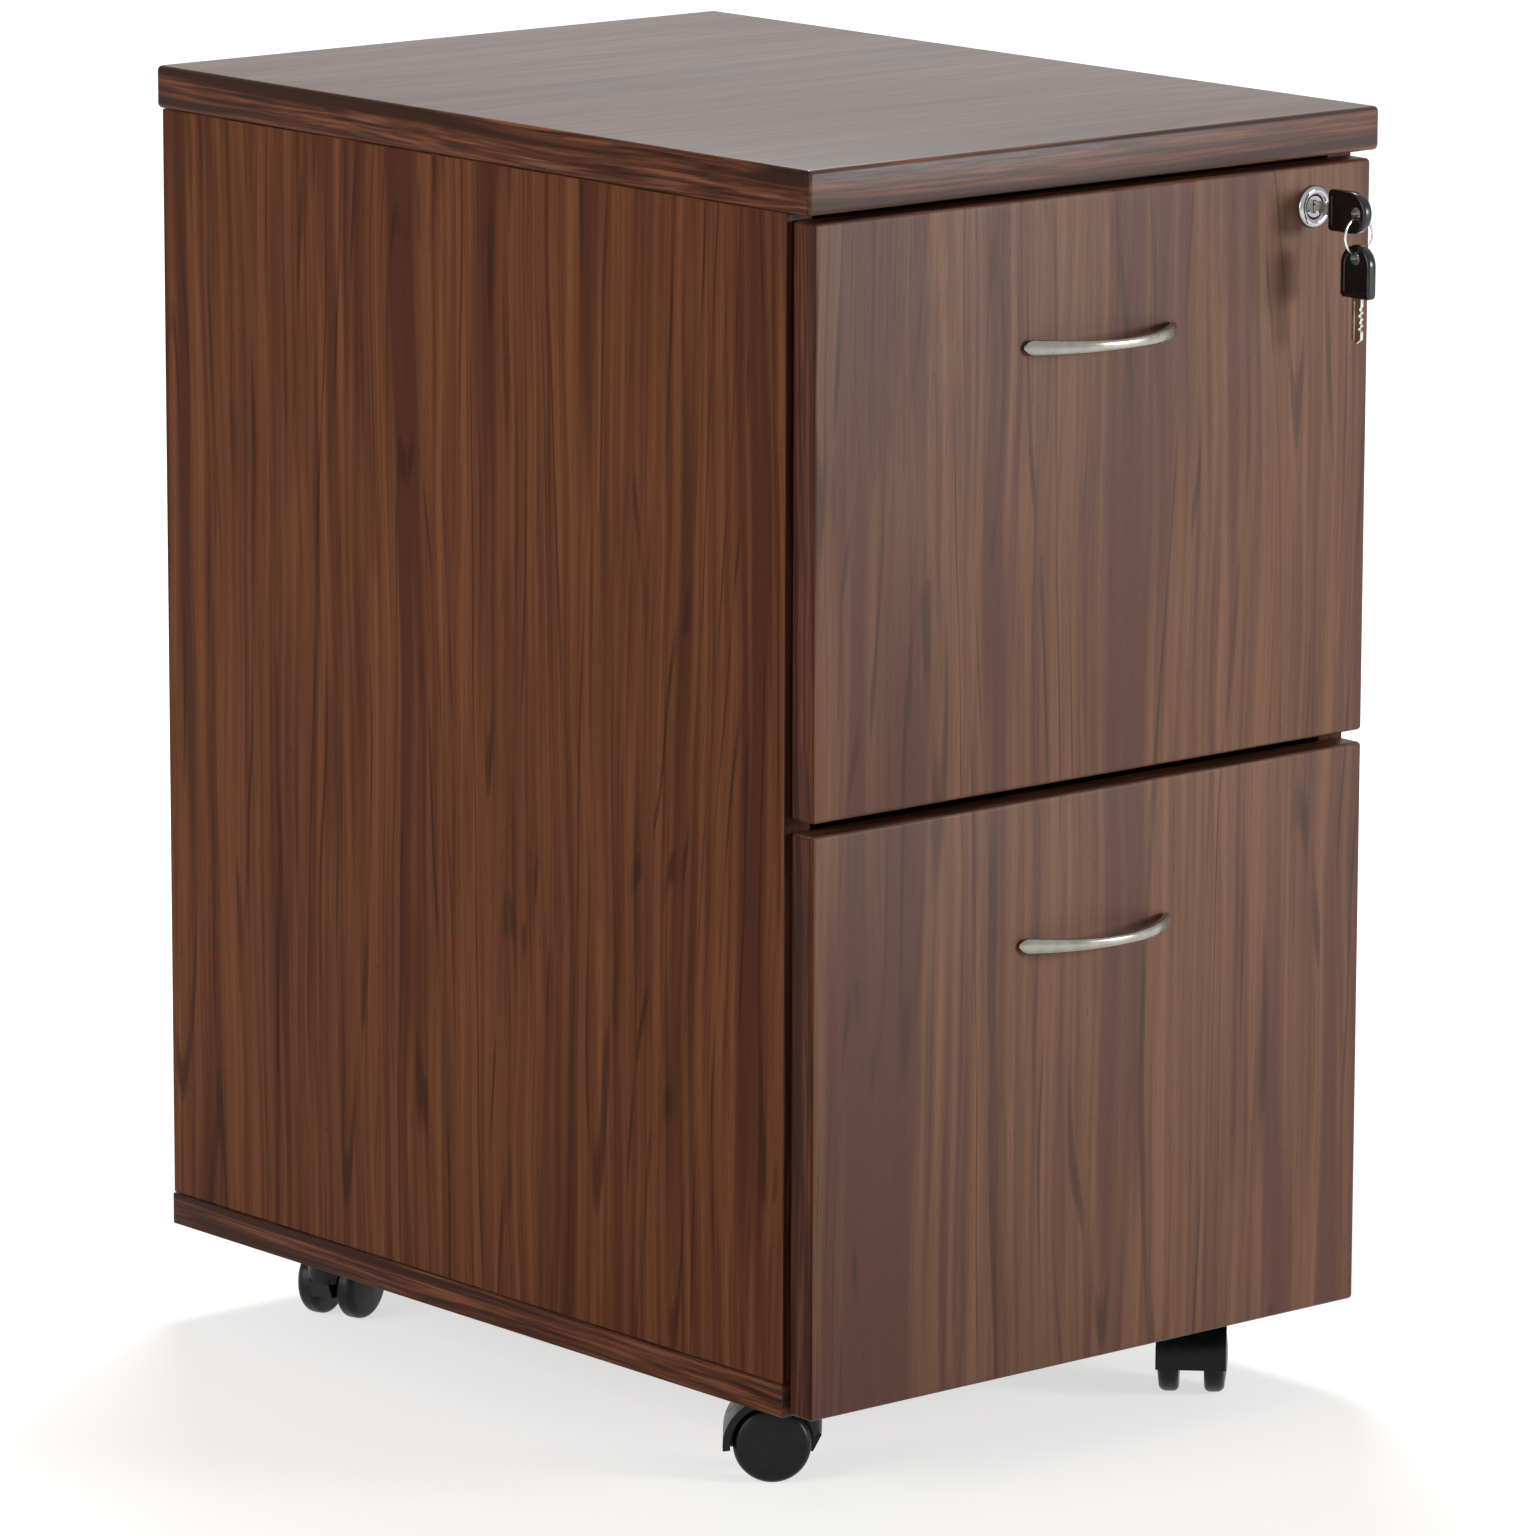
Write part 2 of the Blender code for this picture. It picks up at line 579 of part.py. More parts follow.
# ---- lock ----
def build_lock(finish):
    """Housing, plug and cam on the upper front, with the plug's axis along Y."""
    centre = (LOCK_X, FACE_Y, LOCK_Z)
    bore = LOCK_PLUG_RADIUS + RUNNING_GAP
    tail = FRONT_THICKNESS + LOCK_BARREL_TAIL
    stand = -LOCK_FLANGE_STAND
    lip = LOCK_FLANGE_STAND / 3
    rim = LOCK_FLANGE_RADIUS
    outer = turned_mesh(
        "lock_outer",
        [
            (0, stand),
            (rim - 3 * lip, stand),
            (rim - lip, stand + lip),
            (rim, stand + 2 * lip),
            (rim, -JOINT_GAP),
            (LOCK_BARREL_RADIUS, -JOINT_GAP),
            (LOCK_BARREL_RADIUS, tail),
            (0, tail),
        ],
        "Y",
        28,
    )
    cup = turned_mesh(
        "lock_cup",
        [
            (0, stand - lip),
            (bore + 2.5 * lip, stand - lip),
            (bore, stand + LOCK_PLUG_RECESS),
            (bore, tail + CUT_PAST),
            (0, tail + CUT_PAST),
        ],
        "Y",
        28,
    )
    place("lock_housing", solid("lock_housing", outer, removed=[cup]), finish["chrome"], centre)

    stem = LOCK_STEM_SIZE / 2
    plug_front = stand + LOCK_PLUG_RECESS
    plug = turned_mesh(
        "plug_round",
        [(0, plug_front), (LOCK_PLUG_RADIUS, plug_front), (LOCK_PLUG_RADIUS, tail), (0, tail)],
        "Y",
        24,
    )
    drive_end = tail + RUNNING_GAP + CAM_THICKNESS + JOIN_OVERLAP
    drive = block_mesh("plug_drive", (-stem, tail - JOIN_OVERLAP, -stem), (stem, drive_end, stem))
    half_slot = KEY_BLADE_THICKNESS / 2 + RUNNING_GAP
    half_wide = KEY_BLADE_WIDTH / 2 + RUNNING_GAP
    slot_end = KEY_BLADE_REACH - KEY_STANDOFF + KEY_TIP_ROOM
    keyway = block_mesh(
        "keyway", (-half_slot, plug_front - CUT_PAST, -half_wide), (half_slot, slot_end, half_wide)
    )
    plug = solid("lock_plug", plug, joined=[drive], removed=[keyway])
    place("lock_plug", plug, finish["chrome"], centre)

    half = CAM_WIDTH / 2
    outline = arc((0, 0), half * 1.3, 0, math.pi, 10)
    outline += arc((0, -CAM_LENGTH + half), half, math.pi, math.tau, 8)
    cam = prism_mesh("cam_plate", outline, along_y(CAM_FRONT_Y - FACE_Y), CAM_THICKNESS)
    hole = stem + RUNNING_GAP
    eye = block_mesh("cam_eye", (-hole, tail - CUT_PAST, -hole), (hole, tail + 2 * CUT_PAST, hole))
    place("lock_cam", solid("lock_cam", cam, removed=[eye]), finish["steel"], centre)


def catch_low_z(level):
    """Underside of the catch on a drawer's right side."""
    return DRAWER_BASES[level] + BOX_RISE + BOX_SIDE_HEIGHT - CATCH_DROP - CATCH_HEIGHT


def bar_low_z():
    """Lower end of the locking bar."""
    return catch_low_z("lower") - CATCH_CLEARANCE - BAR_PIN_HEIGHT - BAR_TAIL


def build_lock_bar(finish):
    """The bar that the cam lifts, with a tab over the cam and a pin for each drawer's catch."""
    tab_low = LOCK_Z + CAM_WIDTH / 2 + RUNNING_GAP - LOCK_LIFT
    bar = block_mesh(
        "bar_strip",
        (BAR_INNER_X, BAR_FRONT_Y, bar_low_z()),
        (BAR_OUTER_X, BAR_BACK_Y, tab_low + BAR_TAB_HEIGHT),
    )
    tab = block_mesh(
        "bar_tab",
        (BAR_INNER_X - BAR_TAB_REACH, BAR_FRONT_Y, tab_low),
        (BAR_INNER_X + JOIN_OVERLAP, BAR_BACK_Y, tab_low + BAR_TAB_HEIGHT),
    )
    joined = [tab]
    pin_front = BAR_FRONT_Y + (BAR_WIDTH - BAR_PIN_WIDTH) / 2
    for level in DRAWER_BASES:
        pin_high = catch_low_z(level) - CATCH_CLEARANCE
        joined.append(
            block_mesh(
                f"bar_pin_{level}",
                (BAR_INNER_X - BAR_PIN_REACH, pin_front, pin_high - BAR_PIN_HEIGHT),
                (BAR_INNER_X + JOIN_OVERLAP, pin_front + BAR_PIN_WIDTH, pin_high),
            )
        )
        catch_front = pin_front + BAR_PIN_WIDTH + CATCH_SLACK
        name = f"{level}_lock_catch"
        catch = block_mesh(
            name,
            (BOX_OUTER_X + JOINT_GAP, catch_front, catch_low_z(level)),
            (
                BOX_OUTER_X + CATCH_REACH,
                catch_front + CATCH_LENGTH,
                catch_low_z(level) + CATCH_HEIGHT,
            ),
            CATCH_EDGE_RADIUS,
        )
        place(name, catch, finish["steel"])
    place("lock_bar", solid("lock_bar", bar, joined=joined), finish["steel"])


# ---- keys ----
def key_blade_mesh():
    """A blade along +Z from the head's flat end at z = 0, its tang below it, its width along Y."""
    half = KEY_BLADE_WIDTH / 2
    pitch = (KEY_BLADE_REACH - KEY_BLADE_WIDTH) / (KEY_CUTS + 1)
    outline = [(-half, -KEY_BLADE_TANG), (half, -KEY_BLADE_TANG)]
    for cut in range(KEY_CUTS):
        middle = KEY_BLADE_WIDTH * 0.6 + (cut + 0.5) * pitch
        depth = KEY_CUT_DEPTH * (1.0 if cut % 2 else 0.6)
        outline += [
            (half, middle - 0.40 * pitch),
            (half - depth, middle - 0.12 * pitch),
            (half - depth, middle + 0.12 * pitch),
            (half, middle + 0.40 * pitch),
        ]
    outline += [(half, KEY_BLADE_REACH - half * 0.7), (0, KEY_BLADE_REACH)]
    outline += [(-half, KEY_BLADE_REACH - half * 0.7)]
    frame = along_x(-KEY_BLADE_THICKNESS / 2)
    return prism_mesh("key_blade", outline, frame, KEY_BLADE_THICKNESS)


def key_head_mesh():
    """A moulded head below z = 0 in the YZ plane: flat end at z = 0, round end with the ring's hole."""
    half = KEY_HEAD_WIDTH / 2
    end = -KEY_HEAD_LENGTH + half
    outline = [(half, 0.0), (-half, 0.0)]
    outline += arc((0, end), half, math.pi, math.tau, 14)
    bm = bmesh.new()
    thick = KEY_HEAD_THICKNESS
    face = bm.faces.new([bm.verts.new((-thick / 2, y, z)) for y, z in outline])
    grown = bmesh.ops.extrude_face_region(bm, geom=[face])["geom"]
    moved = [v for v in grown if isinstance(v, bmesh.types.BMVert)]
    bmesh.ops.translate(bm, vec=(thick, 0, 0), verts=moved)
    rims = [e for e in bm.edges if abs(e.verts[0].co.x - e.verts[1].co.x) < thick / 2]
    bmesh.ops.bevel(
        bm, geom=rims, offset=KEY_HEAD_EDGE, segments=2, profile=0.5, affect="EDGES"
    )
    head = mesh_of("head_block", bm)
    hole_z = -KEY_AXIS_TO_TIP
    hole = prism_mesh(
        "head_hole",
        arc((0, hole_z), KEY_HOLE_RADIUS, 0, math.tau * 15 / 16, 15),
        along_x(-thick),
        2 * thick,
    )
    wide = KEY_BLADE_WIDTH / 2 + JOINT_GAP
    thin = KEY_BLADE_THICKNESS / 2 + JOINT_GAP
    pocket = block_mesh(
        "head_pocket", (-thin, -wide, -KEY_BLADE_TANG - JOINT_GAP), (thin, wide, CUT_PAST)
    )
    return solid("key_head", head, removed=[hole, pocket])


def ring_mesh():
    """A closed ring in the XZ plane that hangs from the origin at its top."""
    bm = bmesh.new()
    circle = bmesh.ops.create_circle(bm, segments=RING_WIRE_POINTS, radius=RING_WIRE_RADIUS)
    bmesh.ops.translate(bm, vec=(RING_RADIUS, 0, 0), verts=circle["verts"])
    bmesh.ops.rotate(
        bm,
        cent=(RING_RADIUS, 0, 0),
        matrix=Matrix.Rotation(math.pi / 2, 3, "X"),
        verts=bm.verts,
    )
    bmesh.ops.spin(
        bm,
        geom=bm.edges[:] + bm.verts[:],
        cent=(0, 0, 0),
        axis=(0, 0, 1),
        angle=math.tau,
        steps=RING_STEPS,
        use_merge=True,
    )
    bmesh.ops.remove_doubles(bm, verts=bm.verts, dist=1e-6)
    bmesh.ops.rotate(bm, matrix=Matrix.Rotation(math.pi / 2, 3, "X"), verts=bm.verts)
    bmesh.ops.translate(bm, vec=(0, 0, -RING_RADIUS), verts=bm.verts)
    mesh = mesh_of("key_ring", bm)
    mesh.shade_smooth()
    return mesh


def build_keys(finish):
    """The key in the lock, the ring through its head, and the spare key on the ring."""
    blade = key_blade_mesh()
    head = key_head_mesh()
    lying = Matrix.Rotation(-math.pi / 2, 4, "X")
    lying_blade = blade.copy()
    lying_blade.transform(lying)
    lying_head = head.copy()
    lying_head.transform(lying)
    seat = (LOCK_X, KEY_HEAD_BACK_Y, LOCK_Z)
    place("key_blade", lying_blade, finish["nickel"], seat)
    place("key_head", lying_head, finish["black"], seat)
    place("key_ring", ring_mesh(), finish["nickel"], (LOCK_X, KEY_HOLE_Y, RING_PIVOT_Z))
    hanging = Matrix.Rotation(math.pi, 4, "X")
    spare_blade = blade.copy()
    spare_blade.transform(Matrix.Translation((0, 0, -KEY_AXIS_TO_TIP - RING_DROP)) @ hanging)
    spare_head = head.copy()
    spare_head.transform(Matrix.Translation((0, 0, -KEY_AXIS_TO_TIP - RING_DROP)) @ hanging)
    pivot = (LOCK_X, KEY_HOLE_Y, SPARE_PIVOT_Z)
    place("spare_key_blade", spare_blade, finish["nickel"], pivot)
    place("spare_key_head", spare_head, finish["black"], pivot)


# ---- castors ----
def hood_mesh():
    """Hood about its swivel axis at the origin: web between the wheels, fender, neck and stubs."""
    wheel = (CASTOR_TRAIL, WHEEL_RADIUS)
    inner = WHEEL_RADIUS + FENDER_GAP
    outer = inner + FENDER_THICKNESS
    half_web = WEB_WIDTH / 2
    band = arc(wheel, outer, FENDER_START, FENDER_END, 18)
    band += arc(wheel, inner - FENDER_GAP, FENDER_END, FENDER_START, 18)
    fender = prism_mesh("hood_fender", band, along_y(-HOOD_HALF_WIDTH), 2 * HOOD_HALF_WIDTH)
    neck = turned_mesh(
        "hood_neck",
        [
            (0, NECK_BOTTOM),
            (NECK_RADIUS, NECK_BOTTOM),
            (NECK_RADIUS, HOOD_TOP_Z - NECK_FLARE_HEIGHT),
            (NECK_RADIUS + NECK_FLARE, HOOD_TOP_Z),
            (0, HOOD_TOP_Z),
        ],
        "Z",
        24,
    )
    rooms = []
    for sign in (-1, 1):
        ends = sorted((sign * (half_web - WEB_SEAT), sign * (HOOD_HALF_WIDTH + WHEEL_WIDTH)))
        profile = [(0, ends[0]), (inner, ends[0]), (inner, ends[1]), (0, ends[1])]
        room = turned_mesh("wheel_room", profile, "Y", 40)
        room.transform(Matrix.Translation((CASTOR_TRAIL, 0, WHEEL_RADIUS)))
        rooms.append(room)
    shell = solid("hood_shell", neck, joined=[fender], removed=rooms)

    rim = outer - WEB_SEAT
    web_outline = arc(wheel, rim, FENDER_START + WEB_START_TURN, FENDER_END - WEB_START_TURN, 14)
    web_outline += [(WEB_SEAT - NECK_RADIUS, NECK_BOTTOM), (-NOSE_REACH, NOSE_BOTTOM)]
    web_outline += [(CASTOR_TRAIL + WEB_FOOT, NOSE_BOTTOM)]
    web = prism_mesh("hood_web", web_outline, along_y(-half_web), WEB_WIDTH)
    stub_end = half_web + STUB_LENGTH
    stubs = turned_mesh(
        "hood_stubs",
        [(0, -stub_end), (STUB_RADIUS, -stub_end), (STUB_RADIUS, stub_end), (0, stub_end)],
        "Y",
        16,
    )
    stubs.transform(Matrix.Translation((CASTOR_TRAIL, 0, WHEEL_RADIUS)))
    pin_room = CASTOR_PIN_RADIUS + RUNNING_GAP
    floor = HOOD_TOP_Z - CASTOR_PIN_LENGTH - HOOD_CLEARANCE
    above = HOOD_TOP_Z + HOOD_CLEARANCE
    bore = turned_mesh(
        "hood_bore", [(0, floor), (pin_room, floor), (pin_room, above), (0, above)], "Z", 16
    )
    return solid("castor_hood", shell, joined=[web, stubs], removed=[bore])


def wheel_mesh():
    """A wheel on the Y axis with its hub face at y = 0, a rounded tread and a domed outer face."""
    bore = STUB_RADIUS + RUNNING_GAP
    depth = STUB_LENGTH - WHEEL_SIDE_GAP + RUNNING_GAP
    tread = WHEEL_TREAD_RADIUS
    dome_edge = WHEEL_WIDTH - WHEEL_DOME
    corner = WHEEL_CORNER_RADIUS
    profile = [(0, depth), (bore, depth), (bore, 0), (WHEEL_RADIUS - corner, 0)]
    profile += arc((WHEEL_RADIUS - corner, corner), corner, -math.pi / 2, 0, 2)[1:]
    shoulder = (WHEEL_RADIUS - tread, dome_edge - tread + WHEEL_CROWN)
    profile += arc(shoulder, tread, 0, math.radians(60), 3)
    profile += [(WHEEL_RADIUS * share, WHEEL_WIDTH - drop) for share, drop in WHEEL_DOME_STEPS]
    profile += [(0, WHEEL_WIDTH)]
    return turned_mesh("castor_wheel", profile, "Y", WHEEL_STEPS)


def plate_mesh():
    """Mounting plate with its swivel pin; the plate's upper face is at z = 0."""
    half = CASTOR_PLATE_SIZE / 2
    plate = block_mesh(
        "plate_flat", (-half, -half, -CASTOR_PLATE_THICKNESS), (half, half, 0.0), CASTOR_PLATE_EDGE
    )
    end = -CASTOR_PLATE_THICKNESS - CASTOR_PIN_LENGTH
    pin = turned_mesh(
        "plate_pin",
        [(0, end), (CASTOR_PIN_RADIUS, end), (CASTOR_PIN_RADIUS, -JOIN_OVERLAP), (0, -JOIN_OVERLAP)],
        "Z",
        16,
    )
    return solid("castor_plate", plate, joined=[pin])


def castor_places():
    """Each castor's swivel axis on the floor plane."""
    x = TOP_WIDTH / 2 - CASTOR_SIDE_INSET
    y = TOP_DEPTH / 2 - CASTOR_END_INSET
    return {
        "front_left": (-x, Y_SHIFT - y),
        "front_right": (x, Y_SHIFT - y),
        "rear_left": (-x, Y_SHIFT + y),
        "rear_right": (x, Y_SHIFT + y),
    }


def build_castors(finish):
    """Four castors, each a plate, a hood and two wheels."""
    hood = hood_mesh()
    plate = plate_mesh()
    wheel = wheel_mesh()
    mirrored = wheel.copy()
    mirrored.transform(Matrix.Rotation(math.pi, 4, "Z"))
    hub = WEB_WIDTH / 2 + WHEEL_SIDE_GAP
    for corner, (x, y) in castor_places().items():
        plate_z = BASE_Z - JOINT_GAP
        place(f"{corner}_castor_plate", plate, finish["steel"], (x, y, plate_z))
        swivel = place(
            f"{corner}_castor_hood",
            hood,
            finish["black"],
            (x, y, 0.0),
            turn=CASTOR_HEADINGS[corner],
        )
        axle = Vector((CASTOR_TRAIL, 0.0, WHEEL_RADIUS))
        left = axle + Vector((0.0, hub, 0.0))
        right = axle - Vector((0.0, hub, 0.0))
        place(f"{corner}_castor_left_wheel", wheel, finish["black"], left, swivel)
        place(f"{corner}_castor_right_wheel", mirrored, finish["black"], right, swivel)


def main():
    """Builds the whole pedestal in an empty scene."""
    for obj in list(bpy.data.objects):
        bpy.data.objects.remove(obj)
    finish = make_materials()
    build_carcass(finish)
    for level in DRAWER_BASES:
        for side in ("left", "right"):
            build_slide(level, side, finish)
        build_front(level, finish)
        build_box(level, finish)
        build_hanging_rails(level, finish)
    build_handles(finish)
    build_lock(finish)
    build_lock_bar(finish)
    build_keys(finish)
    build_castors(finish)


main()
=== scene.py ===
"""Looks of a two-drawer mobile filing pedestal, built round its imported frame.

Every piece takes its place from the frame's own boxes, rides on the body that carries it, and is
finished with procedural materials. Lengths are in metres; +Z is up and the drawers face -Y.
"""

import logging
import math
from collections.abc import Iterable, Sequence
from dataclasses import dataclass, field
from enum import Enum

import bmesh
import bpy
from mathutils import Matrix, Vector


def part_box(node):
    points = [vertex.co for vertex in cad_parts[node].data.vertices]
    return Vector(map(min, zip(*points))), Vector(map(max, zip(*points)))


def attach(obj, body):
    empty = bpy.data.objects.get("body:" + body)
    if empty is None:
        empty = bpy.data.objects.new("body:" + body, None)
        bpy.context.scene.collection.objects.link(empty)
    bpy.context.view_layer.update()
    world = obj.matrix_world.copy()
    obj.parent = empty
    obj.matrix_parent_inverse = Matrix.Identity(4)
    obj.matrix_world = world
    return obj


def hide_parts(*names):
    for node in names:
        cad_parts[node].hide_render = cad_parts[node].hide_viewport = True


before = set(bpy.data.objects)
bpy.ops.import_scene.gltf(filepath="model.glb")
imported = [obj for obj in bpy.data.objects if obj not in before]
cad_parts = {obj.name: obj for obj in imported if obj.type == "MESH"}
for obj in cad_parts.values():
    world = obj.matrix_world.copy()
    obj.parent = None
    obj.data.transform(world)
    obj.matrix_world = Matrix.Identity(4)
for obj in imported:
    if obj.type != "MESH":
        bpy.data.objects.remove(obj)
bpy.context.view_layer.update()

MM = 0.001
LEVELS = ("upper", "lower")
SIDES = ("left", "right")
CORNERS = ("front_left", "front_right", "rear_left", "rear_right")
SMOOTH_ANGLE = math.radians(32)
NYLON_IOR = 1.53
LOG = logging.getLogger("pedestal")

Point = tuple[float, float, float]
Outline = list[tuple[float, float]]
Colour = tuple[float, float, float, float]
Mesh = bmesh.types.BMesh
Tree = bpy.types.NodeTree
Node = bpy.types.Node
Socket = bpy.types.NodeSocket

# Turns that lay a shape's own +Z along another direction.
FACING_FRONT = Matrix.Rotation(math.pi / 2, 4, "X")
FACING_BACK = Matrix.Rotation(-math.pi / 2, 4, "X")
FACING_RIGHT = Matrix.Rotation(math.pi / 2, 4, "Y")
FACING_LEFT = Matrix.Rotation(-math.pi / 2, 4, "Y")
FACING_DOWN = Matrix.Rotation(math.pi, 4, "X")
# Turns that stand a shape drawn in XY in the YZ plane, and in the XZ plane.
STOOD_IN_YZ = Matrix(((0, 0, 1, 0), (1, 0, 0, 0), (0, 1, 0, 0), (0, 0, 0, 1)))
STOOD_IN_XZ = Matrix(((1, 0, 0, 0), (0, 0, 1, 0), (0, 1, 0, 0), (0, 0, 0, 1)))
WELD = 1e-6


class Slot(Enum):
    """The record's material slots."""

    WALNUT = "walnut_laminate"
    FRONT = "walnut_front_laminate"
    BOX = "drawer_box_laminate"
    STEEL = "zinc_plated_steel"
    NICKEL = "brushed_nickel"
    CHROME = "polished_chrome"
    BLACK = "black_nylon"


class Axis(Enum):
    """An axis of the frame, by its index."""

    X = 0
    Y = 1
    Z = 2


class GrainRun(Enum):
    """Which way a board's grain runs, as the turn that brings it onto the pattern's Z."""

    UPRIGHT = (0.0, 0.0, 0.0)
    ACROSS = (0.0, math.pi / 2, 0.0)
    FORE_AFT = (math.pi / 2, 0.0, 0.0)


# ---- node and mesh helpers ----
def linear(code: str) -> Colour:
    """Turns an sRGB hex colour to linear RGBA.

    Args:
        code: the colour as "#RRGGBB".

    Returns:
        Linear red, green and blue, and an alpha of 1.
    """
    channels = [int(code[start : start + 2], 16) / 255 for start in (1, 3, 5)]
    red, green, blue = (
        value / 12.92 if value <= 0.04045 else ((value + 0.055) / 1.055) ** 2.4
        for value in channels
    )
    return (red, green, blue, 1.0)


def add_node(
    tree: Tree,
    kind: str,
    inputs: dict[int | str, object] | None = None,
    stops: Sequence[tuple[float, str]] = (),
    **settings: object,
) -> Node:
    """Adds a node with its settings and links.

    Args:
        tree: the node tree that gets the node.
        kind: the node's type name.
        inputs: values, or output sockets to link, by input name or index.
        stops: places and hex colours of a colour ramp.
        **settings: attributes set on the node.

    Returns:
        The new node.
    """
    made = tree.nodes.new(kind)
    for key, value in settings.items():
        setattr(made, key, value)
    if stops:
        elements = made.color_ramp.elements
        while len(elements) < len(stops):
            elements.new(1.0)
        for element, (place, code) in zip(elements, stops):
            element.position = place
            element.color = linear(code)
    for key, value in (inputs or {}).items():
        if isinstance(value, Socket):
            tree.links.new(value, made.inputs[key])
        else:
            made.inputs[key].default_value = value
    return made


def block(
    low: Sequence[float], high: Sequence[float], radius: float = 0.0, steps: int = 3
) -> Mesh:
    """Makes a box between two corners with rounded edges.

    Args:
        low: its lowest corner.
        high: its highest corner.
        radius: the radius of its edges, or 0 for sharp ones.
        steps: segments round each edge.

    Returns:
        The box.
    """
    bm = bmesh.new()
    size = Vector(high) - Vector(low)
    bmesh.ops.create_cube(bm, size=1.0)
    bmesh.ops.scale(bm, vec=size, verts=bm.verts)
    bmesh.ops.translate(bm, vec=Vector(low) + size / 2, verts=bm.verts)
    if radius:
        soften(bm, bm.edges[:], radius, steps)
    return bm


def soften(bm: Mesh, edges: Iterable[bmesh.types.BMEdge], radius: float, steps: int) -> None:
    """Rounds some edges of a mesh.

    Args:
        bm: the mesh.
        edges: the edges to round.
        radius: how far the round reaches from each edge.
        steps: segments round each edge.
    """
    bmesh.ops.bevel(
        bm,
        geom=list(edges),
        offset=radius,
        segments=steps,
        profile=0.5,
        affect="EDGES",
        clamp_overlap=True,
        material=-1,
    )


def rod(radius: float, length: float, steps: int, place: Matrix) -> Mesh:
    """Makes a round rod along a place's own Z, with its middle there.

    Args:
        radius: its radius.
        length: its length.
        steps: segments round it.
        place: where it goes.

    Returns:
        The rod.
    """
    bm = bmesh.new()
    bmesh.ops.create_cone(
        bm, cap_ends=True, segments=steps, radius1=radius, radius2=radius, depth=length
    )
    return moved(bm, place)


def arc(
    centre: tuple[float, float], radius: float, start: float, end: float, steps: int
) -> Outline:
    """Lists points on an arc, both ends included.

    Args:
        centre: the arc's centre.
        radius: its radius.
        start: the first point's angle.
        end: the last point's angle.
        steps: the number of chords.

    Returns:
        The points in order.
    """
    turns = [start + (end - start) * step / steps for step in range(steps + 1)]
    return [(centre[0] + radius * math.cos(t), centre[1] + radius * math.sin(t)) for t in turns]


def turned(profile: Outline, steps: int, closed: bool = False) -> Mesh:
    """Turns a profile of (radius, height) points about Z.

    Args:
        profile: the points; an open profile starts and ends on the axis.
        steps: segments round the axis.
        closed: True joins the last point to the first, which makes a ring.

    Returns:
        The turned body.
    """
    bm = bmesh.new()
    points = [bm.verts.new((radius, 0.0, height)) for radius, height in profile]
    pairs = list(zip(points, points[1:]))
    if closed:
        pairs.append((points[-1], points[0]))
    edges = [bm.edges.new(pair) for pair in pairs]
    whole = {"geom": points + edges, "angle": math.tau, "steps": steps, "use_merge": True}
    bmesh.ops.spin(bm, cent=(0, 0, 0), axis=(0, 0, 1), **whole)
    welded(bm)
    bmesh.ops.recalc_face_normals(bm, faces=bm.faces)
    return bm


def welded(bm: Mesh) -> Mesh:
    """Merges a mesh's doubled points, drops its slivers and gives it back."""
    bmesh.ops.remove_doubles(bm, verts=bm.verts, dist=WELD)
    bmesh.ops.dissolve_degenerate(bm, edges=bm.edges, dist=WELD)
    return bm


def extruded(outline: Outline, depth: float) -> Mesh:
    """Extrudes a flat outline in XY towards +Z.

    Args:
        outline: the corners in order.
        depth: how far it goes.

    Returns:
        The closed body.
    """
    bm = bmesh.new()
    face = bm.faces.new([bm.verts.new((a, b, 0.0)) for a, b in outline])
    grown = bmesh.ops.extrude_face_region(bm, geom=[face])["geom"]
    top = [part for part in grown if isinstance(part, bmesh.types.BMVert)]
    bmesh.ops.translate(bm, vec=(0.0, 0.0, depth), verts=top)
    bmesh.ops.recalc_face_normals(bm, faces=bm.faces)
    return bm


def swept(section: Outline, frames: Sequence[Matrix]) -> Mesh:
    """Carries a flat closed section through a row of frames.

    Args:
        section: its corners in XY.
        frames: the section's place at each station.

    Returns:
        The closed body.
    """
    bm = bmesh.new()
    corners = [bm.verts.new((a, b, 0.0)) for a, b in section]
    first = bm.faces.new(corners)
    edges = list(first.edges)
    bmesh.ops.transform(bm, matrix=frames[0], verts=corners)
    for before, after in zip(frames, frames[1:]):
        grown = bmesh.ops.extrude_edge_only(bm, edges=edges)["geom"]
        edges = [part for part in grown if isinstance(part, bmesh.types.BMEdge)]
        moved = [part for part in grown if isinstance(part, bmesh.types.BMVert)]
        edges = [edge for edge in edges if all(v in moved for v in edge.verts)]
        bmesh.ops.transform(bm, matrix=after @ before.inverted(), verts=moved)
    bmesh.ops.contextual_create(bm, geom=edges)
    bmesh.ops.recalc_face_normals(bm, faces=bm.faces)
    return bm


def framed(at: Vector, x_axis: Vector, y_axis: Vector, z_axis: Vector) -> Matrix:
    """Makes a place from its origin and its three axes.

    Args:
        at: the origin.
        x_axis: where its own X points.
        y_axis: where its own Y points.
        z_axis: where its own Z points.

    Returns:
        The place.
    """
    return Matrix.Translation(at) @ Matrix((x_axis, y_axis, z_axis)).transposed().to_4x4()


def moved(bm: Mesh, matrix: Matrix) -> Mesh:
    """Moves a mesh by a matrix, keeps its faces pointing outwards, and gives it back.

    Args:
        bm: the mesh.
        matrix: where it goes.

    Returns:
        The same mesh.
    """
    bmesh.ops.transform(bm, matrix=matrix, verts=bm.verts)
    if matrix.determinant() < 0:
        bmesh.ops.reverse_faces(bm, faces=bm.faces)
    return bm


